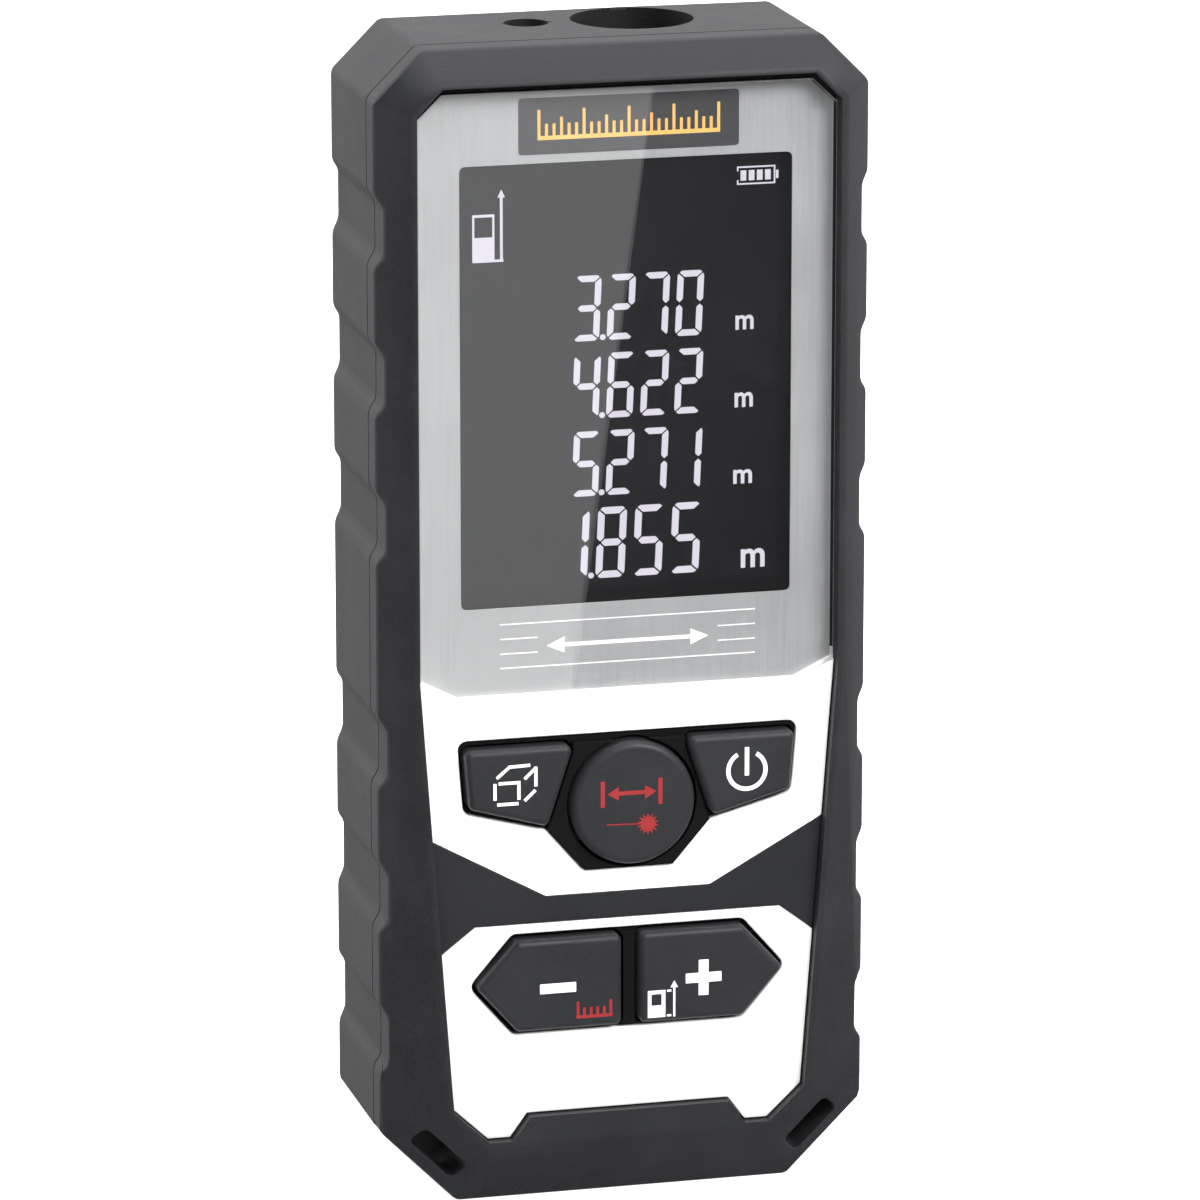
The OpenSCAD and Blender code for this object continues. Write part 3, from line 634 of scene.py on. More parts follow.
def clear_acrylic(name):
    # Hard-coated acrylic pane: seen only by its gloss. Shadows pass through it.
    material, add, place = open_material(name)
    smear = add("TexNoise", {"Vector": (place, "Object"), "Scale": 1 / (12 * MM), "Detail": 3.0})
    gloss = add("MapRange", {
        "Value": (smear, 0), "From Min": 0.4, "From Max": 0.7, "To Min": 0.0, "To Max": 0.02,
    })
    pane = add("BsdfPrincipled", {
        "Base Color": (0.97, 0.98, 0.98, 1), "Transmission Weight": 1.0, "IOR": 1.49,
        "Roughness": (gloss, 0),
    })
    clear = add("BsdfTransparent")
    rays = add("LightPath")
    shader = add("MixShader", {0: (rays, "Is Shadow Ray"), 1: (pane, 0), 2: (clear, 0)})
    return close_material(material, add, shader)


def coated_glass(name, tint, film):
    """Optical glass whose thin coat gives a coloured reflection."""
    material, add, place = open_material(name)
    dust = add("TexNoise", {"Vector": (place, "Object"), "Scale": 1 / (0.6 * MM), "Detail": 4.0})
    gloss = add("MapRange", {
        "Value": (dust, 0), "From Min": 0.55, "From Max": 0.75, "To Min": 0.0, "To Max": 0.08,
    })
    shader = add("BsdfPrincipled", {
        "Base Color": tint, "Transmission Weight": 1.0, "IOR": 1.52,
        "Roughness": (gloss, 0), "Thin Film Thickness": film, "Thin Film IOR": 1.38,
    })
    return close_material(material, add, shader)


def lens_glass(name):
    # Moulded glass lens with an anti-reflection coat: clear, with a violet reflection.
    return coated_glass(name, "#eef3f6", 260.0)


def filter_glass(name):
    # Dyed band-pass glass: deep red, so it shuts out room light.
    return coated_glass(name, "#8a1a20", 180.0)


def display_glass(name):
    # Display glass under a dulled polariser: near black, and darker in a band along its right and lower
    # edges.
    material, add, place = open_material(name)
    low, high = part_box("lcd_panel")
    where = add("SeparateXYZ", {0: (place, "Object")})
    right = add("MapRange", {
        "Value": (where, "X"), "From Min": high.x - 2.2 * MM, "From Max": high.x - 1.9 * MM,
    })
    lower = add("MapRange", {
        "Value": (where, "Z"), "From Min": low.z + 2.3 * MM, "From Max": low.z + 2.0 * MM,
    })
    edge = add("Math", {0: (right, 0), 1: (lower, 0)}, operation="MAXIMUM")
    cloud = add("TexNoise", {"Vector": (place, "Object"), "Scale": 1 / (16 * MM), "Detail": 2.0})
    field = add("Mix", {
        0: (cloud, 0), 6: toned(colours().display, 0.85), 7: toned(colours().display, 1.2),
    }, data_type="RGBA")
    tone = add("Mix", {0: (edge, 0), 6: (field, 2), 7: toned(colours().display, 0.45)}, data_type="RGBA")
    gloss = add("MapRange", {
        "Value": (cloud, 0), "From Min": 0.3, "From Max": 0.7, "To Min": 0.3, "To Max": 0.38,
    })
    shader = add("BsdfPrincipled", {
        "Base Color": (tone, 2), "Roughness": (gloss, 0), "Specular IOR Level": 0.3,
    })
    return close_material(material, add, shader)


def lit_crystal(name):
    # Lit display segments: a cool even glow, a little dimmer in broad patches.
    material, add, place = open_material(name)
    patch = add("TexNoise", {"Vector": (place, "Object"), "Scale": 1 / (10 * MM), "Detail": 1.0})
    tone = add("Mix", {
        0: (patch, 0), 6: toned(colours().lit, 0.94), 7: toned(colours().lit, 1.0),
    }, data_type="RGBA")
    shader = add("BsdfPrincipled", {
        "Base Color": (0.05, 0.05, 0.06, 1), "Roughness": 0.5, "Emission Color": (tone, 2),
        "Emission Strength": 0.88,
    })
    return close_material(material, add, shader)


def light_guide(name):
    # Acrylic light guide: milky, with the etched dots that let the light out, 0.8 mm apart.
    material, add, place = open_material(name)
    dots = add("TexVoronoi", {"Vector": (place, "Object"), "Scale": 1 / (0.8 * MM), "Randomness": 0.1})
    share = add("MapRange", {"Value": (dots, "Distance"), "From Min": 0.2, "From Max": 0.32})
    tone = add("Mix", {0: (share, 0), 6: (0.95, 0.95, 0.92, 1), 7: (0.72, 0.78, 0.82, 1)}, data_type="RGBA")
    shader = add("BsdfPrincipled", {"Base Color": (tone, 2), "Roughness": 0.2, "IOR": 1.49})
    return close_material(material, add, shader)


def striped_connector(name):
    # Layered connector strip: amber silicone with carbon layers, drawn 0.5 mm apart so that they show.
    material, add, place = open_material(name)
    layer = 0.5 * MM
    layers = add("TexWave", {
        "Vector": (place, "Object"), "Scale": 0.5 / (layer * math.pi), "Distortion": 0.0,
    })
    share = add("MapRange", {"Value": (layers, 1), "From Min": 0.45, "From Max": 0.55})
    tone = add("Mix", {0: (share, 0), 6: "#d98a3a", 7: "#1b1a1a"}, data_type="RGBA")
    shader = add("BsdfPrincipled", {"Base Color": (tone, 2), "Roughness": 0.55})
    return close_material(material, add, shader)


def circuit_board(name):
    # Glass-epoxy board under green lacquer: paler tracks stand a hair proud, with tinned holes.
    material, add, place = open_material(name)
    flat = add("Mapping", {"Vector": (place, "Object"), "Rotation": (math.pi / 2, 0, 0)})
    tracks = add("TexBrick", {
        "Vector": (flat, 0), "Scale": 1 / (9 * MM), "Mortar Size": 0.018, "Mortar Smooth": 0.1,
        "Brick Width": 0.42, "Row Height": 0.16,
    })
    holes = add("TexVoronoi", {
        "Vector": (flat, 0), "Scale": 1 / (3.4 * MM), "Randomness": 0.7,
    }, voronoi_dimensions="2D")
    hole = add("MapRange", {"Value": (holes, "Distance"), "From Min": 0.11, "From Max": 0.09})
    lacquer = add("Mix", {0: (tracks, "Fac"), 6: "#14482e", 7: "#2d7a4e"}, data_type="RGBA")
    tone = add("Mix", {0: (hole, 0), 6: (lacquer, 2), 7: "#cfcabb"}, data_type="RGBA")
    bump = add("Bump", {"Height": (tracks, "Fac"), "Distance": 0.03 * MM, "Strength": 1.0})
    shader = add("BsdfPrincipled", {
        "Base Color": (tone, 2), "Roughness": 0.26, "Metallic": (hole, 0), "Normal": (bump, 0),
    })
    return close_material(material, add, shader)


def chip_ceramic(name):
    # Ceramic chip capacitors: a tan body between tinned end caps.
    material, add, place = open_material(name)
    low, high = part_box("board_capacitors")
    where = add("SeparateXYZ", {0: (place, "Object")})
    row_middle = 1.3 * MM
    from_low = add("Math", {0: (where, "Z"), 1: low.z + row_middle}, operation="SUBTRACT")
    from_high = add("Math", {0: (where, "Z"), 1: high.z - row_middle}, operation="SUBTRACT")
    low_reach = add("Math", {0: (from_low, 0)}, operation="ABSOLUTE")
    high_reach = add("Math", {0: (from_high, 0)}, operation="ABSOLUTE")
    reach = add("Math", {0: (low_reach, 0), 1: (high_reach, 0)}, operation="MINIMUM")
    cap = add("MapRange", {"Value": (reach, 0), "From Min": 0.78 * MM, "From Max": 0.82 * MM})
    speckle = add("TexNoise", {"Vector": (place, "Object"), "Scale": 1 / (0.2 * MM), "Detail": 3.0})
    body = add("Mix", {0: (speckle, 0), 6: "#a87f4c", 7: "#c79c68"}, data_type="RGBA")
    tone = add("Mix", {0: (cap, 0), 6: (body, 2), 7: "#c9c8c4"}, data_type="RGBA")
    shader = add("BsdfPrincipled", {"Base Color": (tone, 2), "Roughness": 0.4, "Metallic": (cap, 0)})
    return close_material(material, add, shader)


def printed_sleeve(name, side):
    # Shrink sleeve of a cell: graphite body, copper band at the nub end, and bare steel at both ends.
    material, add, place = open_material(name)
    low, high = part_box(f"battery_{side}")
    nub, foot = (low.z, high.z) if side == "left" else (high.z, low.z)
    where = add("SeparateXYZ", {0: (place, "Object")})
    travel = add("MapRange", {"Value": (where, "Z"), "From Min": foot, "From Max": nub})
    band = add("MapRange", {"Value": (travel, 0), "From Min": 0.728, "From Max": 0.732})
    line = add("Math", {0: (travel, 0), 1: 0.715, 2: 0.004}, operation="COMPARE")
    top = add("MapRange", {"Value": (travel, 0), "From Min": 0.972, "From Max": 0.974})
    bottom = add("MapRange", {"Value": (travel, 0), "From Min": 0.008, "From Max": 0.006})
    metal = add("Math", {0: (top, 0), 1: (bottom, 0)}, operation="MAXIMUM")
    scuff = add("TexNoise", {"Vector": (place, "Object"), "Scale": 1 / (1.5 * MM), "Detail": 5.0})
    graphite = add("Mix", {0: (scuff, 0), 6: "#1b1c1f", 7: "#2a2b30"}, data_type="RGBA")
    copper = add("Mix", {0: (band, 0), 6: (graphite, 2), 7: "#b4672c"}, data_type="RGBA")
    lined = add("Mix", {0: (line, 0), 6: (copper, 2), 7: "#d9d6cf"}, data_type="RGBA")
    tone = add("Mix", {0: (metal, 0), 6: (lined, 2), 7: "#c2c0ba"}, data_type="RGBA")
    shine = add("Math", {0: (band, 0), 1: (metal, 0)}, operation="MAXIMUM")
    gloss = add("MapRange", {
        "Value": (scuff, 0), "From Min": 0.35, "From Max": 0.7, "To Min": 0.22, "To Max": 0.36,
    })
    shader = add("BsdfPrincipled", {
        "Base Color": (tone, 2), "Roughness": (gloss, 0), "Metallic": (shine, 0),
    })
    return close_material(material, add, shader)


def light_table(name):
    # Opal acrylic of a light table: white and matt, with a low glow that thins the shadows.
    return moulded(
        name, "#f4f4f4", 0.8, 6, 0.01, 0.004, 0.05, 300,
        **{"Emission Color": (1.0, 1.0, 1.0, 1.0), "Emission Strength": 0.8},
    )


# ---- the pieces ----


class METER_OT_housing(bpy.types.Operator):
    """Rounds the rubber-coated bezel and rear cover"""

    bl_idname = "meter.housing"
    bl_label = "Housing"

    def at_slot_rim(self, edge):
        """True for the rim of a strap slot on the bevel."""
        slot = next(m["pos_m"] for m in frame["record"]["mounts"] if m["name"] == "strap_slot_right")
        across, along, bevel_foot = 2 * MM, 4.8 * MM, seam - 3 * MM
        for corner in edge.verts:
            right, up = abs(corner.co.x) - slot[0], corner.co.z - slot[2]
            if abs(right - up) > across or abs(right + up) > along or corner.co.y > bevel_foot:
                return False
        return True

    def in_port(self, face):
        """True for the wall of a beam or receiver port, where the bare shell shows."""
        centre = face.calc_center_median()
        upright = abs(face.normal.z) < 0.5 and centre.z > height - 4 * MM
        for lens in ("laser_window", "receiver_lens"):
            low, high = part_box(lens)
            across = math.hypot(centre.x - (low.x + high.x) / 2, centre.y - (low.y + high.y) / 2)
            if upright and across < (high.x - low.x) / 2 + 0.5 * MM:
                return True
        return False

    def execute(self, context):
        shape = context.scene.meter_shape
        bezel = copy_node("front_frame", "bezel")
        soften(bezel, [
            (shape.grip_rounding, lambda e: outside(e) and along_depth(e)),
            (shape.rim_rounding, lambda e: outside(e) and all(v.co.y < seam - MM for v in e.verts)),
            (0.25 * MM, self.at_slot_rim),
        ])
        finish_piece(bezel, "housing", "soft_rubber", use(soft_touch_rubber), "front_frame")

        cover = copy_node("rear_cover", "rear_shell")
        inset, door_side = 4 * MM, 16.2 * MM
        soften(cover, [
            (shape.grip_rounding, lambda e: outside(e) and along_depth(e)),
            (shape.back_rounding, lambda e: outside(e) and all(v.co.y > back - inset for v in e.verts)),
            (shape.back_rounding, lambda e: at_depth(e, back) and all(
                abs(v.co.x) > half_width - inset or v.co.z < inset or v.co.z > height - inset for v in e.verts
            )),
            (0.2 * MM, lambda e: at_depth(e, back) and all(abs(v.co.x) < door_side for v in e.verts)),
        ])
        finish_piece(cover, "housing", "soft_rubber", use(soft_touch_rubber), "rear_cover")
        line_faces(cover, use(optics_nylon), self.in_port)
        return {"FINISHED"}


class METER_OT_fascia(bpy.types.Operator):
    """Shapes the gloss fascia and the inlay across its waist"""

    bl_idname = "meter.fascia"
    bl_label = "Fascia"

    def execute(self, context):
        fascia = copy_node("front_panel", "fascia")
        # the key openings lie in one field, above and below the waist
        field_side, field_middle, field_reach = 18.2 * MM, 35.5 * MM, 19 * MM
        waist_low, waist_high = 29.5 * MM, 34.5 * MM
        soften(fascia, [
            (0.22 * MM, lambda e: at_depth(e, face) and all(
                abs(v.co.x) < field_side and abs(v.co.z - field_middle) < field_reach
                and not waist_low < v.co.z < waist_high for v in e.verts
            )),
            (0.08 * MM, lambda e: at_depth(e, face)),
        ], segments=3)
        finish_piece(fascia, "housing", "fascia_white", use(gloss_abs), "front_panel")
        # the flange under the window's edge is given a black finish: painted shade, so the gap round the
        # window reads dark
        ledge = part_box("window_mask")[1].y
        window_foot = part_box("display_window")[0].z + 3 * MM
        open_whole(fascia)
        bpy.ops.mesh.bisect(plane_co=(0, 0, window_foot), plane_no=(0, 0, 1))
        close_edit()

        def under_window(face):
            centre = face.calc_center_median()
            return face.normal.y < -0.9 and abs(centre.y - ledge) < 0.2 * MM and centre.z > window_foot

        line_faces(fascia, use(optics_nylon), under_window)

        inlay = copy_node("waist_band", "waist_inlay")
        soften(inlay, [(0.08 * MM, lambda e: at_depth(e, face))], segments=2)
        finish_piece(inlay, "housing", "band_black", use(satin_inlay), "waist_band")
        return {"FINISHED"}


class METER_OT_window(bpy.types.Operator):
    """Shapes the clear window and the silver film behind it"""

    bl_idname = "meter.window"
    bl_label = "Window"

    def execute(self, context):
        pane = copy_node("display_window", "window_pane")
        open_edit(pane, "VERT")
        pick(pane, "verts", lambda v: v.co.y > film_front - NEAR)
        bpy.ops.transform.translate(value=(0, -0.06 * MM, 0))
        close_edit()
        soften(pane, [(0.2 * MM, lambda e: at_depth(e, face))], segments=3)
        finish_piece(pane, "housing", "window_clear", use(clear_acrylic), "display_window")

        film = copy_node("window_mask", "window_film")
        soften(film, [(0.03 * MM, lambda e: at_depth(e, film_front))], segments=2)
        finish_piece(film, "housing", "mask_film", use(brushed_film), "window_mask")
        return {"FINISHED"}


class METER_OT_film_prints(bpy.types.Operator):
    """Prints the name plate with its scale, and the lines under the display"""

    bl_idname = "meter.film_prints"
    bl_label = "Film prints"

    def execute(self, context):
        thin = 0.02 * MM
        rear = film_front
        front = rear - thin
        plate = mark("name_plate", front, rear, plates=[box_corners(-11.3, 111.06, 11.8, 116.9)], corner=0.35)
        finish_piece(plate, "housing", "plate_grey", use(plate_ink))

        # a measuring scale: tall, middle and short ticks on a base line
        left, length, foot, count = -9.15, 18.8, 112.75, 24
        ticks = []
        for i in range(count + 1):
            top = 115.65 if i % 6 == 0 else 114.85 if i % 3 == 0 else 114.2
            x = left + length * i / count
            ticks.append((x, foot, x, top, 0.3))
        ticks.append((left - 0.15, foot, left + length + 0.15, foot, 0.42))
        scale = mark("name_plate_scale", front - thin, rear - thin, strokes=ticks, corner=0.04)
        finish_piece(scale, "housing", "print_orange", use(screen_ink, "orange_ink"))

        hair = 0.11
        left, right = -13.4, 13.75
        lines = [(left, z, right, z, hair) for z in (62.26, 57.63)]
        for z in (60.7, 59.14):
            lines += [(left, z, left + 4, z, hair), (right - 4, z, right, z, hair)]
        lines.append((-6.7, 59.75, 7.0, 59.75, 0.4))
        heads = [
            [(0.15 + side * 8.6, 59.75), (0.15 + side * 6.7, 60.6), (0.15 + side * 6.7, 58.9)]
            for side in (-1, 1)
        ]
        rule = mark("film_lines", front, rear, strokes=lines, plates=heads, corner=0.04)
        finish_piece(rule, "housing", "print_white", use(screen_ink, "white_ink"))
        return {"FINISHED"}


def flip(corners, x_sign, z_sign):
    """Corners mirrored across or upside down, kept in the same turn."""
    return [(x_sign * x, z_sign * z) for x, z in reversed(corners)]


# lit segments of each digit, lettered clockwise from the top, with g in the middle
SEGMENTS = {
    "0": "abcdef", "1": "bc", "2": "abdeg", "3": "abcdg", "4": "bcfg",
    "5": "acdfg", "6": "acdefg", "7": "abc", "8": "abcdefg", "9": "abcdfg",
}


class METER_OT_display(bpy.types.Operator):
    """Models the seven segments once and sets the readings, units and signs on the display"""

    bl_idname = "meter.display"
    bl_label = "Display"

    # middle of the last digit, foot of the row, and its size beside the first three
    ROWS = [(6.72, 91.47, 1), (6.65, 83.33, 1), (6.6, 75.22, 1), (6.36, 66.5, None)]
    UNITS = [
        (11.59, 91.79, 13.51, 93.3), (11.53, 83.65, 13.47, 85.2),
        (11.42, 75.59, 13.42, 77.07), (12.27, 66.64, 14.82, 68.63),
    ]

    def segment_corners(self, display):
        """Corners of each segment round the middle of a digit, in millimetres."""
        w, h = display.digit_width / MM / 2, display.digit_height / MM / 2
        t = display.stroke / MM
        top = [
            (w - 0.45, h), (0.45 - w, h), (0.22 - w, h - 0.2),
            (t + 0.08 - w, h - t), (w - t - 0.08, h - t), (w - 0.22, h - 0.2),
        ]
        middle = [
            (w - 0.42, 0), (w - 0.75, t / 2), (0.75 - w, t / 2),
            (0.42 - w, 0), (0.75 - w, -t / 2), (w - 0.75, -t / 2),
        ]
        upper_left = [
            (0.12 - w, h - 0.31), (-w, h - 0.55), (-w, 0.42),
            (0.32 - w, 0.13), (t - w, 0.46), (t - w, h - t - 0.13),
        ]
        upright = {
            "a": top, "b": flip(upper_left, -1, 1), "c": flip(flip(upper_left, 1, -1), -1, 1),
            "d": flip(top, 1, -1), "e": flip(upper_left, 1, -1), "f": upper_left, "g": middle,
        }
        return {key: [(x + display.slant * z, z) for x, z in corners] for key, corners in upright.items()}

    def execute(self, context):
        display = context.scene.meter_display
        rear = glass_front
        front = rear - context.scene.meter_shape.lit
        glow = use(lit_crystal)
        segments = {
            key: outline_plate(corners, front, rear)
            for key, corners in self.segment_corners(display).items()
        }
        dot = outline_plate(ring_points(0, 0, [0.31], 16), front, rear)
        readings = display.readings.split()
        for row, (reading, (last_x, foot, size)) in enumerate(zip(readings, self.ROWS)):
            size = size or display.last_row_scale
            pitch = display.pitch / MM * size
            middle = foot + display.digit_height / MM * size / 2
            digits = reading.replace(".", "")
            parts = []
            for i, digit in enumerate(digits):
                x = last_x - pitch * (len(digits) - 1 - i)
                for key in SEGMENTS[digit]:
                    part = copy_piece(segments[key], f"segment_{row}_{i}_{key}")
                    part.location = (x * MM, 0, middle * MM)
                    part.scale = (size, 1, size)
                    parts.append(part)
            point = copy_piece(dot, f"point_{row}")
            before = reading.index(".")
            lean = display.slant * display.digit_height / MM * size / 2
            point.location = (
                (last_x - pitch * (len(digits) - before - 0.5) - lean) * MM, 0, (foot + 0.32) * MM
            )
            parts.append(point)
            whole = join(f"reading_{row + 1}", parts)
            finish_piece(whole, "housing", "lcd_lit", glow)
        for spare in [*segments.values(), dot]:
            bpy.data.objects.remove(spare)

        units = [letter("m", *corners, front, rear) for corners in self.UNITS]
        finish_piece(join("reading_units", units), "housing", "lcd_lit", glow)

        # battery sign: an open frame, four bars and a nub
        strokes = [
            (11.68, 108.7, 15.65, 108.7, 0.16), (11.68, 106.96, 15.65, 106.96, 0.16),
            (15.65, 106.88, 15.65, 108.78, 0.16), (15.93, 107.4, 15.93, 108.26, 0.26),
            (11.76, 108.3, 11.76, 108.7, 0.16), (11.76, 106.96, 11.76, 107.36, 0.16),
        ]
        strokes += [(12.36 + 0.86 * i, 107.3, 12.36 + 0.86 * i, 108.36, 0.6) for i in range(4)]
        # measuring from the rear edge: a meter on its foot, and an arrow up from its base
        strokes += [
            (-16.04, 100.3, -12.8, 100.3, 0.26), (-13.03, 100.3, -13.03, 106.9, 0.28),
            (-15.95, 100.3, -15.95, 105.1, 0.22), (-13.86, 100.3, -13.86, 105.1, 0.22),
            (-16.04, 104.97, -13.77, 104.97, 0.28),
        ]
        plates = [
            box_corners(-15.9, 100.3, -13.9, 102.75),
            [(-13.03, 107.62), (-13.43, 106.8), (-12.63, 106.8)],
        ]
        signs = mark("display_signs", front, rear, strokes, plates, corner=0.04)
        finish_piece(signs, "housing", "lcd_lit", glow)
        return {"FINISHED"}


class METER_OT_keys(bpy.types.Operator):
    """Moulds the five keys with rounded faces, and the mat between them"""

    bl_idname = "meter.keys"
    bl_label = "Keys"

    def execute(self, context):
        shape = context.scene.meter_shape
        for job in ("area", "power", "minus", "plus", "measure"):
            node = f"key_{job}"
            cap = self.round_cap() if job == "measure" else copy_node(node, f"cap_{job}")
            open_edit(cap, "VERT")
            pick(cap, "verts", lambda v: v.co.y < key_front + NEAR)
            bpy.ops.transform.translate(value=(0, shape.ink, 0))
            close_edit()
            radius = shape.round_key_rounding if job == "measure" else shape.key_rounding
            soften(cap, [(radius, lambda e: at_depth(e, key_front + shape.ink))], segments=6)
            finish_piece(cap, f"{job}_key", "key_rubber", use(key_silicone), node)

        mat = copy_node("keypad_mat", "key_mat")
        soften(mat, [(0.12 * MM, lambda e: at_depth(e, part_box("keypad_mat")[0].y))], segments=3)
        finish_piece(mat, "housing", "mat_rubber", use(mat_silicone), "keypad_mat")
        return {"FINISHED"}

    def round_cap(self):
        """The round key, turned finer than the frame's own."""
        low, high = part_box("key_measure")
        bpy.ops.mesh.primitive_circle_add(
            vertices=128, radius=(high.x - low.x) / 2, fill_type="NGON",
            location=((low.x + high.x) / 2, high.y, (low.z + high.z) / 2), rotation=FRONT,
        )
        cap = bpy.context.object
        cap.name = "cap_measure"
        settle(cap)
        open_whole(cap)
        bpy.ops.mesh.extrude_region_move(TRANSFORM_OT_translate={"value": (0, low.y - high.y, 0)})
        close_solid()
        return cap


class METER_OT_key_prints(bpy.types.Operator):
    """Prints the signs on the keys"""

    bl_idname = "meter.key_prints"
    bl_label = "Key prints"

    def execute(self, context):
        ink = context.scene.meter_shape.ink
        front, rear = key_front, key_front + ink

        def print_sign(name, job, ink, *shapes, corner=0.05):
            sign = mark(name, front, rear, *shapes, corner=corner)
            finish_piece(sign, f"{job}_key", f"print_{ink}", use(screen_ink, f"{ink}_ink"))

        # area and volume: a cube drawn in broken lines
        cube = [
            (-14.48, 44.22, -14.48, 46.0), (-14.25, 43.74, -12.0, 43.74), (-14.1, 45.98, -11.8, 45.98),
            (-11.95, 46.1, -11.95, 44.15), (-14.3, 46.55, -12.95, 47.68), (-13.05, 47.68, -10.75, 47.75),
            (-11.35, 46.3, -10.1, 47.48), (-10.15, 47.55, -10.15, 45.45), (-11.35, 43.98, -10.2, 45.05),
        ]
        print_sign("cube_sign", "area", "white", [(*line, 0.33) for line in cube], corner=0.08)

        stem, ring = (12.37, 45.05, 12.37, 48.1, 0.46), (12.37, 45.62, 2.0, 0.45, 30, 300)
        print_sign("power_sign", "power", "white", [stem], (), [ring])

        # distance: an arrow between two walls, over a beam that ends in a burst
        lines = [
            (-3.05, 42.65, -3.05, 45.45, 0.46), (3.1, 42.65, 3.1, 45.45, 0.46),
            (-1.5, 44.05, 1.6, 44.05, 0.44), (-2.63, 40.78, 0.9, 40.66, 0.13),
        ]
        plates = [
            [(-2.55, 44.05), (-1.35, 43.3), (-1.35, 44.8)], [(1.45, 44.8), (1.45, 43.3), (2.65, 44.05)],
            ring_points(1.78, 40.6, [1.18, 0.72], 28),
        ]
        print_sign("distance_sign", "measure", "red", lines, plates, corner=0.03)

        print_sign("minus_sign", "minus", "white", [(-9.75, 23.57, -5.9, 23.57, 1.05)])
        # unit: a short ruler with a tall tick at each end
        ruler = [(-5.87, 20.26, -2.01, 20.26, 0.34)]
        for i in range(6):
            x = -5.7 + 0.704 * i
            ruler.append((x, 20.26, x, 21.91 if i % 5 == 0 else 21.25, 0.3))
        print_sign("units_sign", "minus", "red", ruler, corner=0.04)

        # plus, beside a meter with an arrow up from its base
        a, b = 1.92, 0.525
        cross = [
            (b, b), (b, a), (-b, a), (-b, b), (-a, b), (-a, -b),
            (-b, -b), (-b, -a), (b, -a), (b, -b), (a, -b), (a, b),
        ]
        meter = [
            (1.99, 19.56, 1.99, 22.49, 0.38), (3.48, 19.56, 3.48, 22.49, 0.4),
            (1.8, 22.29, 3.68, 22.29, 0.4), (3.86, 22.38, 4.32, 22.38, 0.22),
            (3.86, 19.69, 4.32, 19.69, 0.22), (4.64, 19.52, 4.64, 22.9, 0.22),
        ]
        plates = [
            [(7.8 + x, 23.55 + z) for x, z in cross], box_corners(1.85, 19.56, 3.6, 20.86),
            [(4.64, 23.45), (4.24, 22.72), (5.04, 22.72)],
        ]
        print_sign("plus_sign", "plus", "white", meter, plates, corner=0.03)
        return {"FINISHED"}


class METER_OT_battery_door(bpy.types.Operator):
    """Rounds the battery door and its seal"""

    bl_idname = "meter.battery_door"
    bl_label = "Battery door"

    def execute(self, context):
        door = copy_node("battery_door", "door_panel")
        low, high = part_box("battery_door")
        rim = 14.9 * MM
        soften(door, [
            (0.3 * MM, lambda e: at_depth(e, back) and all(
                abs(v.co.x) > rim or v.co.z > high.z - NEAR for v in e.verts
            )),
            (0.12 * MM, lambda e: at_depth(e, back)),
        ], segments=3)
        finish_piece(door, "door", "door_black", use(door_abs), "battery_door")

        seal = copy_node("door_seal", "door_gasket")
        ease(seal, 0.08 * MM)
        finish_piece(seal, "door", "seal_rubber", use(seal_rubber), "door_seal")
        return {"FINISHED"}


class METER_OT_battery(bpy.types.Operator):
    """Shapes the two cells, their springs and contacts"""

    bl_idname = "meter.battery"
    bl_label = "Cells and contacts"

    def execute(self, context):
        for side in ("left", "right"):
            cell = copy_node(f"battery_{side}", f"cell_{side}")
            ease(cell, 0.35 * MM, segments=3, degrees=50)
            finish_piece(cell, "housing", "cell_sleeve", use(printed_sleeve, side), f"battery_{side}")
        coils = copy_node("battery_springs", "spring_coils")
        apply_modifier(coils, "SUBSURF", levels=2, render_levels=2)
        shade(coils, 60)
        finish_piece(coils, "housing", "steel", use(nickel_steel), "battery_springs")
        for node in ("contact_bridge", "contact_positive", "contact_negative"):
            strip = copy_node(node, node.replace("contact", "strip"))
            ease(strip, 0.09 * MM)
            finish_piece(strip, "housing", "steel", use(nickel_steel), node)
        return {"FINISHED"}


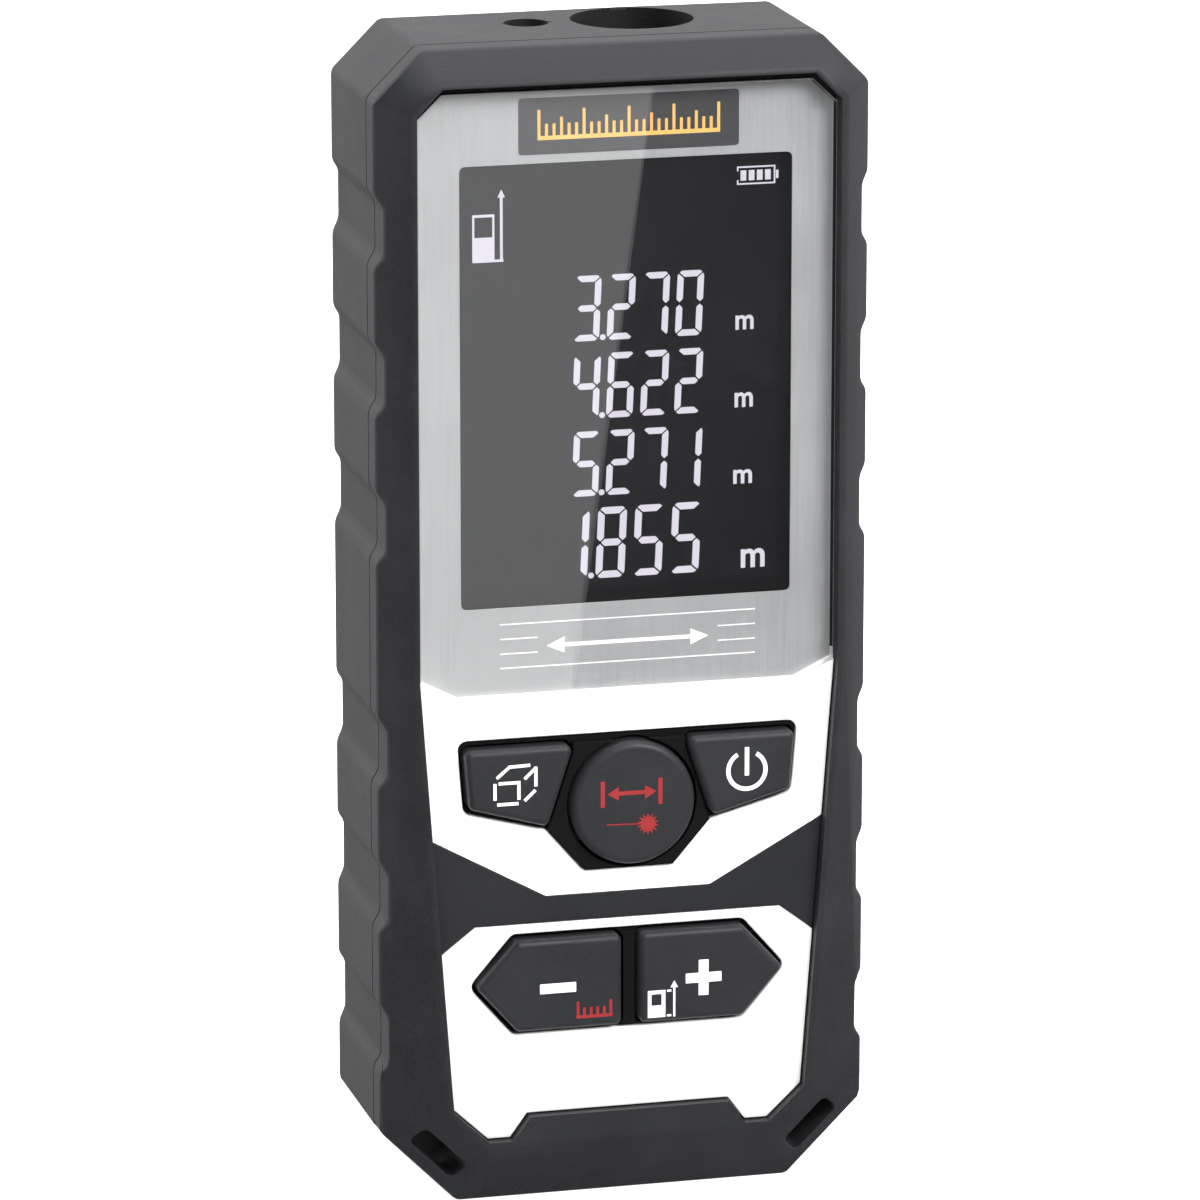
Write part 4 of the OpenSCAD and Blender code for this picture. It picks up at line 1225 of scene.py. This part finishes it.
class METER_OT_inner_pieces(bpy.types.Operator):
    """Eases the edges of the board, the optics and the fixings inside"""

    bl_idname = "meter.inner_pieces"
    bl_label = "Inner pieces"

    # CAD node, piece, slot, material, and the radius of its eased edges in millimetres
    PIECES = [
        ("lcd_holder", "display_holder", "holder_white", white_abs, 0.12),
        ("backlight", "guide_plate", "light_guide", light_guide, 0.12),
        ("lcd_connector", "connector_strip", "connector_amber", striped_connector, 0.12),
        ("main_board", "board", "board_green", circuit_board, 0.06),
        ("sensor_board", "receiver_board", "board_green", circuit_board, 0.06),
        ("contact_pads", "gold_pads", "gold", gold_flash, 0.03),
        ("main_chip", "processor", "chip_black", chip_epoxy, 0.15),
        ("driver_chip", "display_driver", "chip_black", chip_epoxy, 0.15),
        ("timing_crystal", "crystal_can", "steel", nickel_steel, 0.3),
        ("board_capacitors", "capacitor_rows", "ceramic_tan", chip_ceramic, 0.12),
        ("buzzer", "sounder", "chip_black", chip_epoxy, 0.3),
        ("board_screws", "board_fixings", "steel", nickel_steel, 0.25),
        ("optics_screws", "optics_fixings", "steel", nickel_steel, 0.3),
        ("optics_block", "optics_carrier", "optics_black", optics_nylon, 0.2),
        ("laser_barrel", "barrel", "gold", turned_brass, 0.15),
        ("laser_diode", "diode_can", "steel", nickel_steel, 0.08),
        ("photodiode", "receiver_can", "steel", nickel_steel, 0.15),
        ("collimator_lens", "beam_lens", "lens_glass", lens_glass, 0.1),
        ("laser_window", "beam_window", "lens_glass", lens_glass, 0.1),
        ("receiver_lens", "main_lens", "lens_glass", lens_glass, 0.15),
        ("optical_filter", "red_filter", "filter_red", filter_glass, 0.1),
        ("lens_ring", "retaining_ring", "optics_black", optics_nylon, 0.12),
        ("lens_seal", "lens_gasket", "seal_rubber", seal_rubber, 0.12),
        ("aperture_gasket", "front_gasket", "seal_rubber", seal_rubber, 0.12),
        ("housing_gasket", "joint_gasket", "seal_rubber", seal_rubber, 0.12),
        ("housing_screws", "case_screws", "steel", nickel_steel, 0.22),
    ]

    def execute(self, context):
        for node, name, slot, material, radius in self.PIECES:
            piece = copy_node(node, name)
            ease(piece, radius * MM)
            finish_piece(piece, "housing", slot, use(material), node)
        for key in ("area", "measure", "power", "minus", "plus"):
            pill = copy_node(f"pill_{key}", f"carbon_{key}")
            ease(pill, 0.1 * MM)
            finish_piece(pill, f"{key}_key", "carbon_pill", use(carbon_rubber), f"pill_{key}")
        glass = frame["nodes"]["lcd_panel"]
        glass.data.materials.clear()
        glass.data.materials.append(use(display_glass))
        return {"FINISHED"}


class METER_OT_stage(bpy.types.Operator):
    """Sets the floor, the soft lights and the camera"""

    bl_idname = "meter.stage"
    bl_label = "Stage"

    def softbox(self, name, place, aim, size, power):
        """A square panel of light, pointed at a place."""
        drop_selection()
        turn = (Vector(aim) - Vector(place)).to_track_quat("-Z", "Y").to_euler()
        bpy.ops.object.light_add(type="AREA", location=place, rotation=turn)
        lamp = bpy.context.object
        lamp.name = name
        lamp.data.energy = power
        lamp.data.size = size
        return lamp

    def sky(self, context):
        """Plain surroundings, brighter behind the meter than in front of it."""
        stage = context.scene.meter_stage
        world = bpy.data.worlds.new("studio")
        context.scene.world = world
        world.use_nodes = True
        world.node_tree.nodes.clear()
        add = partial(add_node, world.node_tree)
        place = add("TexCoord")
        where = add("SeparateXYZ", {0: (place, "Generated")})
        strength = add("MapRange", {
            "Value": (where, "Y"), "From Min": -0.3, "From Max": 0.35,
            "To Min": stage.front_sky, "To Max": stage.back_sky,
        }, interpolation_type="SMOOTHSTEP")
        level = add("MapRange", {
            "Value": (where, "Z"), "From Min": -0.5, "From Max": 0.1,
            "To Min": stage.low_sky, "To Max": 1.0,
        }, interpolation_type="SMOOTHSTEP")
        both = add("Math", {0: (strength, 0), 1: (level, 0)}, operation="MULTIPLY")
        shade_node = add("Background", {"Color": (1, 1, 1, 1), "Strength": (both, 0)})
        add("OutputWorld", {"Surface": (shade_node, 0)})

    def execute(self, context):
        stage = context.scene.meter_stage
        drop_selection()
        bpy.ops.mesh.primitive_plane_add(size=8)
        floor = bpy.context.object
        floor.name = "floor"
        floor.data.materials.append(use(light_table))
        floor.visible_glossy = False
        floor.visible_transmission = False
        self.sky(context)

        middle = (0, 0, height / 2)
        for name, place, size, power in (
            ("overhead_softbox", (0, 0.25, 1.1), 0.9, stage.overhead_power),
            ("key_softbox", (0.55, -0.8, 0.85), 0.5, stage.key_power),
            ("left_softbox", (-0.95, 0.75, 0.75), 0.6, 2 * stage.side_power),
            ("right_softbox", (1.1, 0.2, 0.35), 0.6, stage.side_power),
            ("front_softbox", (-0.1, -1.1, 0.8), 0.8, stage.front_power),
        ):
            lamp = self.softbox(name, place, middle, size, power)
        # the last one lifts the floor before the meter, and shows in nothing
        lamp.visible_glossy = False

        # a panel that shows only as the glare on the window, its far edge leaning 10.3 in 75.3
        lean = math.atan2(10.3, 75.3)
        across = Vector((math.cos(lean), 0, -math.sin(lean)))
        edge_middle = Vector((37.15, -162, 51.05)) * MM
        wide = 45 * MM
        drop_selection()
        bpy.ops.object.light_add(
            type="AREA", location=edge_middle - across * wide / 2, rotation=(math.pi / 2, lean, 0)
        )
        glare = bpy.context.object
        glare.name = "glare_panel"
        glare.data.shape = "RECTANGLE"
        glare.data.size = wide
        glare.data.size_y = 100 * MM
        glare.data.energy = stage.glare_power
        glare.visible_diffuse = False
        glare.visible_camera = False

        place = Vector((-190.0, -741.25, 256.43)) * MM
        aim = Vector((-2.988, -12.1, 64.438)) * MM
        drop_selection()
        bpy.ops.object.camera_add(location=place, rotation=(aim - place).to_track_quat("-Z", "Y").to_euler())
        camera = bpy.context.object
        camera.data.lens = stage.lens
        camera.data.sensor_width = 36
        camera.data.clip_start = 0.01
        context.scene.camera = camera
        context.scene.view_settings.view_transform = "Standard"
        return {"FINISHED"}


class METER_PT_panel(bpy.types.Panel):
    """Lists the meter's settings and the steps that build it"""

    bl_idname = "METER_PT_panel"
    bl_label = "Laser Distance Meter"
    bl_space_type = "VIEW_3D"
    bl_region_type = "UI"
    bl_category = "Distance Meter"

    def draw(self, context):
        scene = context.scene
        for group in (scene.meter_shape, scene.meter_display, scene.meter_colours, scene.meter_stage):
            box = self.layout.box()
            for name in group.__annotations__:
                box.prop(group, name)
        for step in STEPS:
            self.layout.operator(step.bl_idname)


GROUPS = {
    "meter_shape": MeterShape,
    "meter_display": MeterDisplay,
    "meter_colours": MeterColours,
    "meter_stage": MeterStage,
}
STEPS = [
    METER_OT_stage,
    METER_OT_housing,
    METER_OT_fascia,
    METER_OT_window,
    METER_OT_film_prints,
    METER_OT_display,
    METER_OT_keys,
    METER_OT_key_prints,
    METER_OT_battery_door,
    METER_OT_battery,
    METER_OT_inner_pieces,
]


def register():
    for group in (*GROUPS.values(), *STEPS, METER_PT_panel):
        bpy.utils.register_class(group)
    for name, group in GROUPS.items():
        setattr(bpy.types.Scene, name, bpy.props.PointerProperty(type=group))


def unregister():
    for name in GROUPS:
        delattr(bpy.types.Scene, name)
    for group in reversed((*GROUPS.values(), *STEPS, METER_PT_panel)):
        bpy.utils.unregister_class(group)


def main():
    register()
    for step in STEPS:
        family, action = step.bl_idname.split(".")
        getattr(getattr(bpy.ops, family), action)()


if __name__ == "__main__":
    main()
